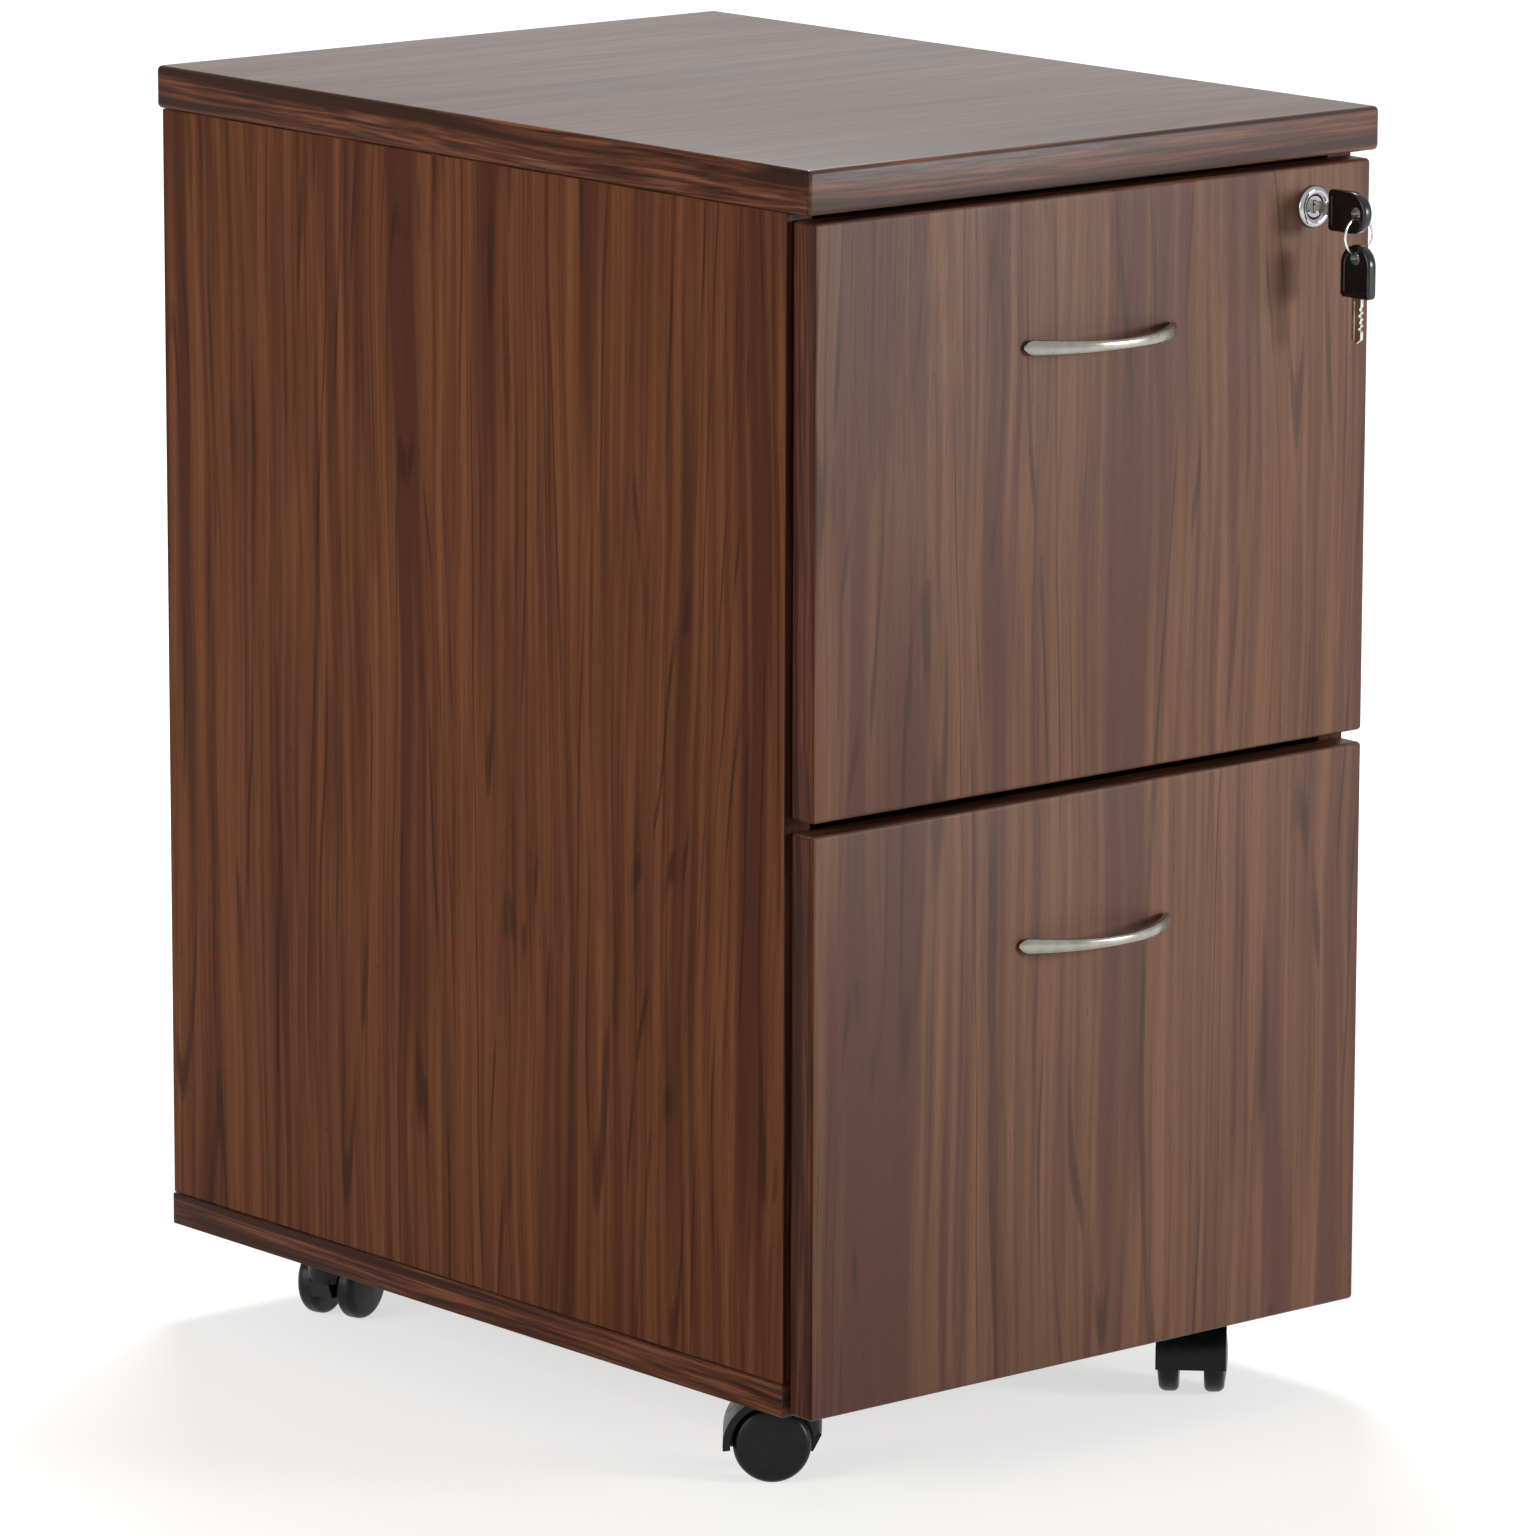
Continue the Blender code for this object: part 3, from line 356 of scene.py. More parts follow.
def together(parts: Iterable[Mesh]) -> Mesh:
    """Puts several meshes into one and frees them.

    Args:
        parts: the meshes.

    Returns:
        One mesh that holds them all.
    """
    whole = bmesh.new()
    for part in parts:
        carrier = bpy.data.meshes.new("part")
        part.to_mesh(carrier)
        part.free()
        whole.from_mesh(carrier)
        bpy.data.meshes.remove(carrier)
    return whole


def carved(
    base: Mesh,
    joined: Sequence[Mesh] = (),
    removed: Sequence[Mesh] = (),
) -> Mesh:
    """Joins bodies to a base, then cuts others from it.

    Args:
        base: the body that is worked on.
        joined: bodies added to it.
        removed: bodies cut from it.

    Returns:
        The finished body.
    """
    helpers = []
    for source in (base, *joined, *removed):
        mesh = bpy.data.meshes.new("helper")
        source.to_mesh(mesh)
        source.free()
        helper = bpy.data.objects.new("helper", mesh)
        bpy.context.scene.collection.objects.link(helper)
        helpers.append(helper)
    work, *tools = helpers
    for index, tool in enumerate(tools):
        modifier = work.modifiers.new("carve", "BOOLEAN")
        modifier.operation = "UNION" if index < len(joined) else "DIFFERENCE"
        modifier.object = tool
    evaluated = work.evaluated_get(bpy.context.evaluated_depsgraph_get())
    bm = bmesh.new()
    bm.from_mesh(evaluated.to_mesh())
    evaluated.to_mesh_clear()
    for helper in helpers:
        mesh = helper.data
        bpy.data.objects.remove(helper)
        bpy.data.meshes.remove(mesh)
    return welded(bm)


def middle(node: str) -> Vector:
    """Gives the middle of a frame node's box.

    Args:
        node: the node's name.

    Returns:
        The middle.
    """
    low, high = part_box(node)
    return (Vector(low) + Vector(high)) / 2


# ---- finishes ----
@dataclass(frozen=True)
class Finish:
    """One real finish, and the material that shows it."""

    name: str
    slot: Slot

    def material(self) -> bpy.types.Material:
        """Gives the finish's material, which is made the first time."""
        found = bpy.data.materials.get(self.name)
        if found:
            return found
        made = bpy.data.materials.new(self.name)
        made.use_nodes = True
        tree = made.node_tree
        self.paint(tree, tree.nodes["Principled BSDF"])
        return made

    def paint(self, tree: Tree, shader: Node) -> None:
        """Adds the finish's own nodes.

        Args:
            tree: the material's nodes.
            shader: its surface shader.
        """
        raise NotImplementedError

    def surface(
        self,
        tree: Tree,
        shader: Node,
        colour: Socket,
        relief: tuple[Socket, float, float],
        sheen: tuple[Socket, float, float, float, float] | None = None,
    ) -> None:
        """Links the colour, the relief and the uneven sheen to the shader.

        Args:
            tree: the material's nodes.
            shader: its surface shader.
            colour: the base colour.
            relief: a pattern, how strongly it shows and its depth in millimetres.
            sheen: a pattern, two of its values, and the roughness at each.
        """
        tree.links.new(colour, shader.inputs["Base Color"])
        pattern, strength, depth_mm = relief
        bump = {"Strength": strength, "Distance": depth_mm * MM, "Height": pattern}
        normal = add_node(tree, "ShaderNodeBump", bump).outputs["Normal"]
        tree.links.new(normal, shader.inputs["Normal"])
        if sheen:
            dulled = add_node(tree, "ShaderNodeMapRange", dict(zip(("Value", 1, 2, 3, 4), sheen)))
            tree.links.new(dulled.outputs["Result"], shader.inputs["Roughness"])


@dataclass(frozen=True)
class WalnutLaminate(Finish):
    """Printed walnut on a pressed melamine sheet, with embossed pores.

    The eye gets long soft stripes of lighter and redder brown, a fine hair line over them, short
    dark pores, a leaning figure here and there, and a satin sheen that breaks along the pores.
    """

    run: GrainRun = GrainRun.UPRIGHT
    shift: Point = (0.0, 0.0, 0.0)
    pale: str = "#6B4129"
    mid: str = "#5B3521"
    dark: str = "#432317"
    pore: str = "#28120C"
    zone_mm: float = 26.0
    stripe_mm: float = 6.0
    stripe_length_mm: float = 420.0
    hair_mm: float = 1.1
    hair_length_mm: float = 150.0
    zone_length_mm: float = 900.0
    pore_mm: float = 0.8
    pore_length_mm: float = 10.0
    sway_mm: float = 24.0
    ring_mm: float = 75.0
    ring_length_mm: float = 1300.0
    rings: float = 15.0
    ring_strength: float = 0.62
    contrast: float = 1.0
    roughness: float = 0.5
    specular: float = 0.5

    def paint(self, tree: Tree, shader: Node) -> None:
        """Adds the printed figure, the pores and the satin surface.

        Args:
            tree: the material's nodes.
            shader: its surface shader.
        """
        place = add_node(tree, "ShaderNodeTexCoord").outputs["Object"]
        laid = {"Vector": place, "Location": self.shift, "Rotation": self.run.value}
        board = add_node(tree, "ShaderNodeMapping", laid).outputs["Vector"]
        sway = self.noise(tree, board, 120.0, 420.0, detail=2.0)
        centred = add_node(
            tree, "ShaderNodeVectorMath", {0: sway.outputs["Color"], 1: (0.5, 0.5, 0.5)}, operation="SUBTRACT"
        ).outputs["Vector"]
        # The figure wanders sideways by about 8 mm along the board.
        wander = {0: centred, 1: (self.sway_mm * MM, self.sway_mm * MM, 0.0), 2: board}
        figure = add_node(
            tree, "ShaderNodeVectorMath", wander, operation="MULTIPLY_ADD"
        ).outputs["Vector"]
        stripes, hair, zones, pores = (
            self.noise(tree, figure, across, along, **values).outputs["Fac"]
            for across, along, values in (
                (self.stripe_mm, self.stripe_length_mm, {"detail": 2.0, "roughness": 0.55}),
                (self.hair_mm, self.hair_length_mm, {"detail": 2.0, "roughness": 0.6}),
                (self.zone_mm, self.zone_length_mm, {"detail": 2.0}),
                (self.pore_mm, self.pore_length_mm, {"detail": 1.0}),
            )
        )
        spread = 0.2 / self.contrast
        colour = add_node(
            tree,
            "ShaderNodeValToRGB",
            {"Fac": stripes},
            stops=((0.5 - spread, self.dark), (0.5, self.mid), (0.5 + spread, self.pale)),
        ).outputs["Color"]
        pore_share = self.share(tree, pores, 0.62, 0.76, 0.35)
        layers = (
            (self.share(tree, zones, 0.51, 0.64, 0.9 * self.contrast), self.dark),
            (self.share(tree, hair, 0.46, 0.72, 0.22 * self.contrast), self.dark),
            (self.growth_lines(tree, figure), self.pore),
            (pore_share, self.pore),
        )
        for share, code in layers:
            colour = add_node(
                tree, "ShaderNodeMix", {0: share, 6: colour, 7: linear(code)}, data_type="RGBA"
            ).outputs[2]
        height = add_node(
            tree, "ShaderNodeMath", {0: hair, 1: pore_share}, operation="SUBTRACT"
        ).outputs["Value"]
        # Embossed pores about 0.05 mm deep, and a sheen that dulls along the hair lines.
        sheen = (hair, 0.3, 0.7, self.roughness - 0.04, self.roughness + 0.05)
        self.surface(tree, shader, colour, (height, 0.35, 0.05), sheen)
        shader.inputs["Specular IOR Level"].default_value = self.specular

    def share(self, tree: Tree, value: Socket, start: float, full: float, most: float) -> Socket:
        """Turns a pattern's value to how much of a darker colour shows.

        Args:
            tree: the material's nodes.
            value: the pattern's value.
            start: where the darker colour starts to show.
            full: where it shows the most.
            most: its share there.

        Returns:
            The share.
        """
        limits = {"Value": value, 1: start, 2: full, 3: 0.0, 4: most}
        ranged = add_node(tree, "ShaderNodeMapRange", limits, interpolation_type="SMOOTHSTEP")
        return ranged.outputs["Result"]

    def noise(
        self, tree: Tree, vector: Socket, across_mm: float, along_mm: float, **values: float
    ) -> Node:
        """Adds a noise drawn out along the grain.

        Args:
            tree: the material's nodes.
            vector: the place on the board, with the grain along Z.
            across_mm: the pattern's size across the grain.
            along_mm: its size along the grain.
            **values: detail and roughness of the noise.

        Returns:
            The noise node.
        """
        across, along = 1 / (across_mm * MM), 1 / (along_mm * MM)
        scaled = {"Vector": vector, "Scale": (across, across, along)}
        drawn = add_node(tree, "ShaderNodeMapping", scaled).outputs["Vector"]
        settings = {name.capitalize(): value for name, value in values.items()}
        return add_node(tree, "ShaderNodeTexNoise", {"Vector": drawn, "Scale": 1.0, **settings})

    def growth_lines(self, tree: Tree, vector: Socket) -> Socket:
        """Adds thin year lines, which lean, close in long loops and fade in and out.

        Args:
            tree: the material's nodes.
            vector: the place on the board, with the grain along Z.

        Returns:
            How much of the line's colour shows.
        """
        depth = self.noise(tree, vector, self.ring_mm, self.ring_length_mm, detail=1.5)
        wound = {0: depth.outputs["Fac"], 1: math.tau * self.rings}
        turns = add_node(tree, "ShaderNodeMath", wound, operation="MULTIPLY").outputs["Value"]
        wave = add_node(tree, "ShaderNodeMath", {0: turns}, operation="SINE").outputs["Value"]
        lines = self.share(tree, wave, 0.78, 1.0, self.ring_strength)
        fading = self.noise(tree, vector, 9.0, 160.0, detail=1.0)
        seen = self.share(tree, fading.outputs["Fac"], 0.40, 0.62, 1.0)
        both = add_node(tree, "ShaderNodeMath", {0: lines, 1: seen}, operation="MULTIPLY")
        return both.outputs["Value"]


@dataclass(frozen=True)
class BoxLaminate(Finish):
    """Pale melamine on the drawer boxes, pressed with a linen weave.

    The eye gets an even warm grey with a faint crossed texture and a low sheen.
    """

    pale: str = "#C9C3B8"
    dark: str = "#B4ADA1"
    thread_mm: float = 1.2
    cloud_mm: float = 40.0
    roughness: float = 0.48

    def paint(self, tree: Tree, shader: Node) -> None:
        """Adds the linen weave and the faint clouding.

        Args:
            tree: the material's nodes.
            shader: its surface shader.
        """
        place = add_node(tree, "ShaderNodeTexCoord").outputs["Object"]
        # Real linen plates have 0.5 mm threads; 1.2 mm is as fine as shows.
        thread = 1 / (self.thread_mm * MM)
        weave = [
            add_node(
                tree,
                "ShaderNodeTexWave",
                {"Vector": place, "Scale": thread / math.tau, "Distortion": 1.5, "Detail": 1.0},
                wave_type="BANDS",
                bands_direction=direction,
            ).outputs["Fac"]
            for direction in ("Y", "Z")
        ]
        cloth = add_node(
            tree, "ShaderNodeMath", {0: weave[0], 1: weave[1]}, operation="MULTIPLY"
        ).outputs["Value"]
        cloud = add_node(
            tree, "ShaderNodeTexNoise", {"Vector": place, "Scale": 1 / (self.cloud_mm * MM), "Detail": 3.0}
        ).outputs["Fac"]
        shade = add_node(
            tree, "ShaderNodeMath", {0: cloth, 1: 0.35, 2: cloud}, operation="MULTIPLY_ADD"
        ).outputs["Value"]
        stops = ((0.25, self.dark), (0.85, self.pale))
        tone = add_node(tree, "ShaderNodeValToRGB", {"Fac": shade}, stops).outputs["Color"]
        self.surface(tree, shader, tone, (cloth, 0.3, 0.04))
        shader.inputs["Roughness"].default_value = self.roughness


@dataclass(frozen=True)
class Metal(Finish):
    """A metal with drawn or rolled lines and small handling marks.

    The eye gets a clean highlight that the fine lines spread one way, with dull smudges in it.
    """

    colour: str = "#BDBBB6"
    shade: str = "#A29F99"
    roughness: float = 0.3
    line_mm: Point = (0.3, 20.0, 0.3)
    smudge_mm: float = 9.0
    bump: float = 0.12
    anisotropic: float = 0.0

    def paint(self, tree: Tree, shader: Node) -> None:
        """Adds the lines, the smudges and the metal surface.

        Args:
            tree: the material's nodes.
            shader: its surface shader.
        """
        place = add_node(tree, "ShaderNodeTexCoord").outputs["Object"]
        scale = tuple(1 / (size * MM) for size in self.line_mm)
        drawn = add_node(tree, "ShaderNodeMapping", {"Vector": place, "Scale": scale}).outputs["Vector"]
        lines, smudge = (
            add_node(
                tree, "ShaderNodeTexNoise", {"Vector": vector, "Scale": size, "Detail": detail}
            ).outputs["Fac"]
            for vector, size, detail in ((drawn, 1.0, 2.0), (place, 1 / (self.smudge_mm * MM), 3.0))
        )
        stops = ((0.35, self.shade), (0.65, self.colour))
        tone = add_node(tree, "ShaderNodeValToRGB", {"Fac": smudge}, stops).outputs["Color"]
        both = add_node(tree, "ShaderNodeMath", {0: lines, 1: smudge}, operation="MULTIPLY")
        sheen = (both.outputs["Value"], 0.1, 0.4, self.roughness * 0.75, self.roughness * 1.3)
        self.surface(tree, shader, tone, (lines, self.bump, 0.02), sheen)
        shader.inputs["Metallic"].default_value = 1.0
        shader.inputs["Anisotropic"].default_value = self.anisotropic


@dataclass(frozen=True)
class MouldedPlastic(Finish):
    """Injection-moulded nylon with a fine spark-eroded texture.

    The eye gets a near-black body, soft highlights with a pebbled edge, and a little dust.
    """

    colour: str = "#08080B"
    dust: str = "#151518"
    roughness: float = 0.34
    specular: float = 0.22
    grit_mm: float = 0.8
    dust_mm: float = 6.0
    bump: float = 0.2

    def paint(self, tree: Tree, shader: Node) -> None:
        """Adds the pebbled texture and the dust.

        Args:
            tree: the material's nodes.
            shader: its surface shader.
        """
        place = add_node(tree, "ShaderNodeTexCoord").outputs["Object"]
        # Moulded grit is about 0.1 mm; it is drawn coarser so that it shows.
        pebbled = {"Vector": place, "Scale": 1 / (self.grit_mm * MM)}
        grit = add_node(tree, "ShaderNodeTexVoronoi", pebbled, feature="SMOOTH_F1").outputs["Distance"]
        settled = {"Vector": place, "Scale": 1 / (self.dust_mm * MM), "Detail": 4.0}
        dust = add_node(tree, "ShaderNodeTexNoise", settled).outputs["Fac"]
        stops = ((0.45, self.colour), (0.85, self.dust))
        tone = add_node(tree, "ShaderNodeValToRGB", {"Fac": dust}, stops).outputs["Color"]
        sheen = (dust, 0.3, 0.7, self.roughness - 0.04, self.roughness + 0.08)
        self.surface(tree, shader, tone, (grit, self.bump, 0.03), sheen)
        shader.inputs["IOR"].default_value = NYLON_IOR
        shader.inputs["Specular IOR Level"].default_value = self.specular


SIDE_WALNUT = WalnutLaminate("walnut_melamine_upright", Slot.WALNUT, roughness=0.55, specular=0.04)
TOP_WALNUT = WalnutLaminate(
    "walnut_melamine_top",
    Slot.WALNUT,
    run=GrainRun.ACROSS,
    shift=(0.31, 0.17, 0.05),
    pale="#5F3F30",
    mid="#4F3327",
    dark="#3B241B",
    roughness=0.38,
)
FRONT_WALNUT = WalnutLaminate(
    "walnut_melamine_front",
    Slot.FRONT,
    shift=(0.13, 0.42, 0.21),
    pale="#76503B",
    mid="#65432F",
    dark="#502E24",
    pore="#2E1810",
    roughness=0.5,
    specular=0.26,
)
BAND_VALUES = {
    "pale": "#724630",
    "mid": "#512D1D",
    "dark": "#2F170F",
    "zone_mm": 12.0,
    "stripe_mm": 2.2,
    "stripe_length_mm": 80.0,
    "hair_mm": 0.8,
    "hair_length_mm": 24.0,
    "ring_mm": 14.0,
    "ring_strength": 0.4,
    "contrast": 1.15,
    "roughness": 0.42,
}
UPRIGHT_VALUES = BAND_VALUES | {"pale": "#5C3424", "mid": "#47261A", "specular": 0.08}
BAND_UPRIGHT = WalnutLaminate(
    "walnut_edge_band_upright", Slot.WALNUT, shift=(0.02, 0.3, 0.11), **UPRIGHT_VALUES
)
BAND_ACROSS = WalnutLaminate(
    "walnut_edge_band_across", Slot.WALNUT, run=GrainRun.ACROSS, specular=0.35, **BAND_VALUES
)
BAND_FORE_AFT = WalnutLaminate(
    "walnut_edge_band_fore_aft", Slot.WALNUT, run=GrainRun.FORE_AFT, specular=0.06, **BAND_VALUES
)
# The bands whose faces look along each axis, for a board that is thin along another.
BANDS = {
    Axis.X: {Axis.Y: BAND_UPRIGHT, Axis.Z: BAND_FORE_AFT},
    Axis.Y: {Axis.X: BAND_UPRIGHT, Axis.Z: BAND_ACROSS},
    Axis.Z: {Axis.X: BAND_FORE_AFT, Axis.Y: BAND_ACROSS},
}
DRAWER_LINEN = BoxLaminate("linen_melamine", Slot.BOX)
RAIL_ZINC = Metal("rolled_zinc_steel", Slot.STEEL, "#B9BBBA", "#9A9C9B", 0.32)
SCREW_ZINC = Metal("zinc_screw_steel", Slot.STEEL, "#C6C7C4", "#A3A39F", 0.26, (0.5, 0.5, 0.5))
BALL_STEEL = Metal("hardened_ball_steel", Slot.STEEL, "#CFD0CF", "#BDBEBD", 0.1, (1.0, 1.0, 1.0))
HANDLE_NICKEL = Metal(
    "satin_nickel", Slot.NICKEL, "#9D9A93", "#918E88", 0.27, (14.0, 0.3, 0.3), anisotropic=0.3
)
KEY_NICKEL = Metal("milled_nickel_brass", Slot.NICKEL, "#CBC7BC", "#ABA69B", 0.2, (0.3, 0.3, 4.0))
RING_STEEL = Metal("nickel_spring_steel", Slot.NICKEL, "#C8C8C6", "#A9A9A6", 0.16, (2.0, 2.0, 2.0))
LOCK_CHROME = Metal(
    "polished_chrome_plate", Slot.CHROME, "#B4B5B9", "#A2A3A7", 0.07, (3.0, 3.0, 3.0), bump=0.03
)
CASTOR_NYLON = MouldedPlastic("black_castor_nylon", Slot.BLACK)
TREAD_NYLON = MouldedPlastic("black_tread_nylon", Slot.BLACK, roughness=0.36, grit_mm=1.2)
KEY_PLASTIC = MouldedPlastic(
    "black_key_plastic", Slot.BLACK, "#09090A", roughness=0.22, bump=0.05, specular=0.4
)


# ---- placing pieces ----
def put(
    name: str,
    bm: Mesh,
    finishes: Sequence[Finish],
    body: str,
    stands_for: Sequence[str] = (),
) -> bpy.types.Object:
    """Makes a piece of the object from a mesh that is already in place.

    Args:
        name: the piece's name.
        bm: its mesh, which is freed.
        finishes: its finishes, in the order of its faces' material indices.
        body: the body that carries it.
        stands_for: the frame nodes that it replaces.

    Returns:
        The new object.
    """
    mesh = bpy.data.meshes.new(name)
    bm.to_mesh(mesh)
    bm.free()
    for finish in finishes:
        mesh.materials.append(finish.material())
    mesh.shade_smooth()
    mesh.set_sharp_from_angle(angle=SMOOTH_ANGLE)
    piece = bpy.data.objects.new(name, mesh)
    bpy.context.scene.collection.objects.link(piece)
    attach(piece, body)
    if stands_for:
        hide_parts(*stands_for)
    LOG.info("%s: %d faces on %s", name, len(mesh.polygons), body)
    return piece


def dress(node: str, finish: Finish) -> None:
    """Gives a frame node its finish.

    Args:
        node: the node's name.
        finish: what it is finished with.
    """
    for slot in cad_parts[node].material_slots:
        slot.material = finish.material()
    LOG.info("%s: %s", node, finish.name)


@dataclass(frozen=True)
class Screw:
    """A pan-head screw with a cross recess."""

    radius: float = 3.4 * MM
    height: float = 1.5 * MM
    round_segments: int = 16
    round_share: float = 0.55
    rim_share: float = 0.12
    arm_share: float = 0.72
    notch_share: float = 0.22
    wall_share: float = 0.02
    recess_share: float = 0.6

    def head(self, seat: Vector, facing: Matrix) -> Mesh:
        """Makes the screw's head.

        Args:
            seat: the middle of the face that it is driven into.
            facing: the turn that lays +Z out of that face.

        Returns:
            The head, in place.
        """
        bm = bmesh.new()
        bmesh.ops.create_circle(bm, cap_ends=True, segments=self.round_segments, radius=self.radius)
        grown = bmesh.ops.extrude_face_region(bm, geom=bm.faces[:])["geom"]
        top = [part for part in grown if isinstance(part, bmesh.types.BMVert)]
        bmesh.ops.translate(bm, vec=(0, 0, self.height), verts=top)
        rim = [edge for edge in bm.edges if all(vert in top for vert in edge.verts)]
        soften(bm, rim, self.height * self.round_share, 2)
        cap = max(bm.faces, key=lambda face: face.calc_center_median().z)
        bmesh.ops.inset_region(bm, faces=[cap], thickness=self.radius * self.rim_share)
        # Every second pair of corners moves in, which turns the cap's circle to a cross.
        for index, vert in enumerate(cap.verts):
            share = self.arm_share if index % 4 in (0, 1) else self.notch_share
            flat = Vector((vert.co.x, vert.co.y, 0)).normalized() * self.radius * share
            vert.co = (flat.x, flat.y, self.height)
        depth = -self.height * self.recess_share
        bmesh.ops.inset_region(
            bm, faces=[cap], thickness=self.radius * self.wall_share, depth=depth
        )
        bmesh.ops.recalc_face_normals(bm, faces=bm.faces)
        return moved(bm, Matrix.Translation(seat) @ facing)


def banded(bm: Mesh, thin: Axis, face: Finish, reach: float) -> list[Finish]:
    """Shares out a board's finishes among its broad faces and its edges.

    Args:
        bm: the board.
        thin: the axis along its thickness.
        face: the finish of its two broad faces.
        reach: how far round each edge that finish goes, in degrees.

    Returns:
        The finishes, in the order of the faces' material indices.
    """
    bands = BANDS[thin]
    finishes = [face, *bands.values()]
    for polygon in bm.faces:
        sizes = {axis: abs(polygon.normal[axis.value]) for axis in Axis}
        broad = sizes[thin] > math.cos(math.radians(reach))
        widest = max(bands, key=sizes.get)
        polygon.material_index = 0 if broad else finishes.index(bands[widest])
    return finishes


# ---- carcass ----
@dataclass
class Carcass:
    """Top, bottom, two sides and back, each a laminated board with banded edges."""

    top_radius: float = 3.0 * MM
    board_radius: float = 0.8 * MM
    groove_gap: float = 0.6 * MM
    cut_past: float = 6.0 * MM

    def board(
        self, node: str, thin: Axis, face: Finish, radius: float, bar_groove: bool = False
    ) -> None:
        """Builds one board over its frame node.

        Args:
            node: the frame node that it stands for.
            thin: the axis along the board's thickness.
            face: the finish of its two broad faces.
            radius: the radius of its edges.
            bar_groove: True cuts the groove that the locking bar runs in.
        """
        low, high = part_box(node)
        bm = block(low, high, radius, 4)
        if bar_groove:
            bm = carved(bm, removed=[self.groove()])
        put(f"{node}_board", bm, banded(bm, thin, face, 20.0), "cabinet", [node])

    def groove(self) -> Mesh:
        """Makes the block that cuts the locking bar's groove."""
        low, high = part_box("lock_bar")
        panel_low, panel_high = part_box("right_side_panel")
        gap = self.groove_gap
        return block(
            (panel_low[0] - self.cut_past, low[1] - gap, low[2] - gap),
            (high[0] + gap, high[1] + gap, panel_high[2] + self.cut_past),
        )

    def build(self) -> None:
        """Builds the five boards."""
        self.board("top_panel", Axis.Z, TOP_WALNUT, self.top_radius)
        self.board("bottom_panel", Axis.Z, TOP_WALNUT, self.board_radius)
        self.board("left_side_panel", Axis.X, SIDE_WALNUT, self.board_radius)
        self.board("right_side_panel", Axis.X, SIDE_WALNUT, self.board_radius, bar_groove=True)
        self.board("back_panel", Axis.Y, SIDE_WALNUT, self.board_radius)


# ---- drawers ----
@dataclass
class Drawer:
    """One drawer: its front, its box with screwed corners, its hanging rails and its catch."""

    level: str
    front_radius: float = 2.5 * MM
    barrel_wall: float = 3.2 * MM
    bore_gap: float = 0.3 * MM
    handle_screw: Screw = field(default_factory=lambda: Screw(4.2 * MM, 2.2 * MM))
    handle_screw_inset: float = 4 * MM
    box_screw: Screw = field(default_factory=lambda: Screw(3.2 * MM, 0.9 * MM))
    screw_shares: tuple[float, ...] = (0.14, 0.74)

    @property
    def body(self) -> str:
        """The body that carries the drawer."""
        return f"{self.level}_drawer"

    def front(self) -> None:
        """Builds the drawer front, bored for the lock on the upper drawer."""
        node = f"{self.level}_drawer_front"
        low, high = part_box(node)
        bm = block(low, high, self.front_radius, 5)
        if self.level == "upper":
            plug_low, plug_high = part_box("lock_plug")
            barrel = (plug_high[0] - plug_low[0]) / 2 + self.barrel_wall + self.bore_gap
            at = Matrix.Translation(middle("lock_plug")) @ FACING_FRONT
            bm = carved(bm, removed=[rod(barrel, 0.1, 48, at)])
        put(f"{self.level}_front_board", bm, banded(bm, Axis.Y, FRONT_WALNUT, 35.0), self.body, [node])

    def box(self) -> None:
        """Dresses the box and adds the screws that hold its corners."""
        for board in (*[f"{side}_side" for side in SIDES], "back", "bottom"):
            dress(f"{self.level}_drawer_{board}", DRAWER_LINEN)
        heads = []
        back = middle(f"{self.level}_drawer_back")
        for side, facing in (("left", FACING_LEFT), ("right", FACING_RIGHT)):
            low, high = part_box(f"{self.level}_drawer_{side}_side")
            outer_x = low[0] if side == "left" else high[0]
            for share in self.screw_shares:
                z = low[2] + (high[2] - low[2]) * share
                heads.append(self.box_screw.head(Vector((outer_x, back.y, z)), facing))
        put(f"{self.level}_box_screws", together(heads), [SCREW_ZINC], self.body)

    def handle_screws(self) -> None:
        """Adds the two screws that hold the handle, on the back of the front."""
        low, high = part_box(f"{self.level}_handle")
        back_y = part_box(f"{self.level}_drawer_front")[1][1]
        height = (low[2] + high[2]) / 2
        inset = self.handle_screw_inset
        heads = [
            self.handle_screw.head(Vector((x, back_y, height)), FACING_BACK)
            for x in (low[0] + inset, high[0] - inset)
        ]
        put(f"{self.level}_handle_screws", together(heads), [SCREW_ZINC], self.body)

    def rails(self) -> None:
        """Dresses the hanging rails and the lock's catch."""
        for side in SIDES:
            dress(f"{self.level}_{side}_hanging_rail", RAIL_ZINC)
        dress(f"{self.level}_lock_catch", SCREW_ZINC)

    def build(self) -> None:
        """Builds the whole drawer."""
        self.front()
        self.box()
        self.handle_screws()
        self.rails()


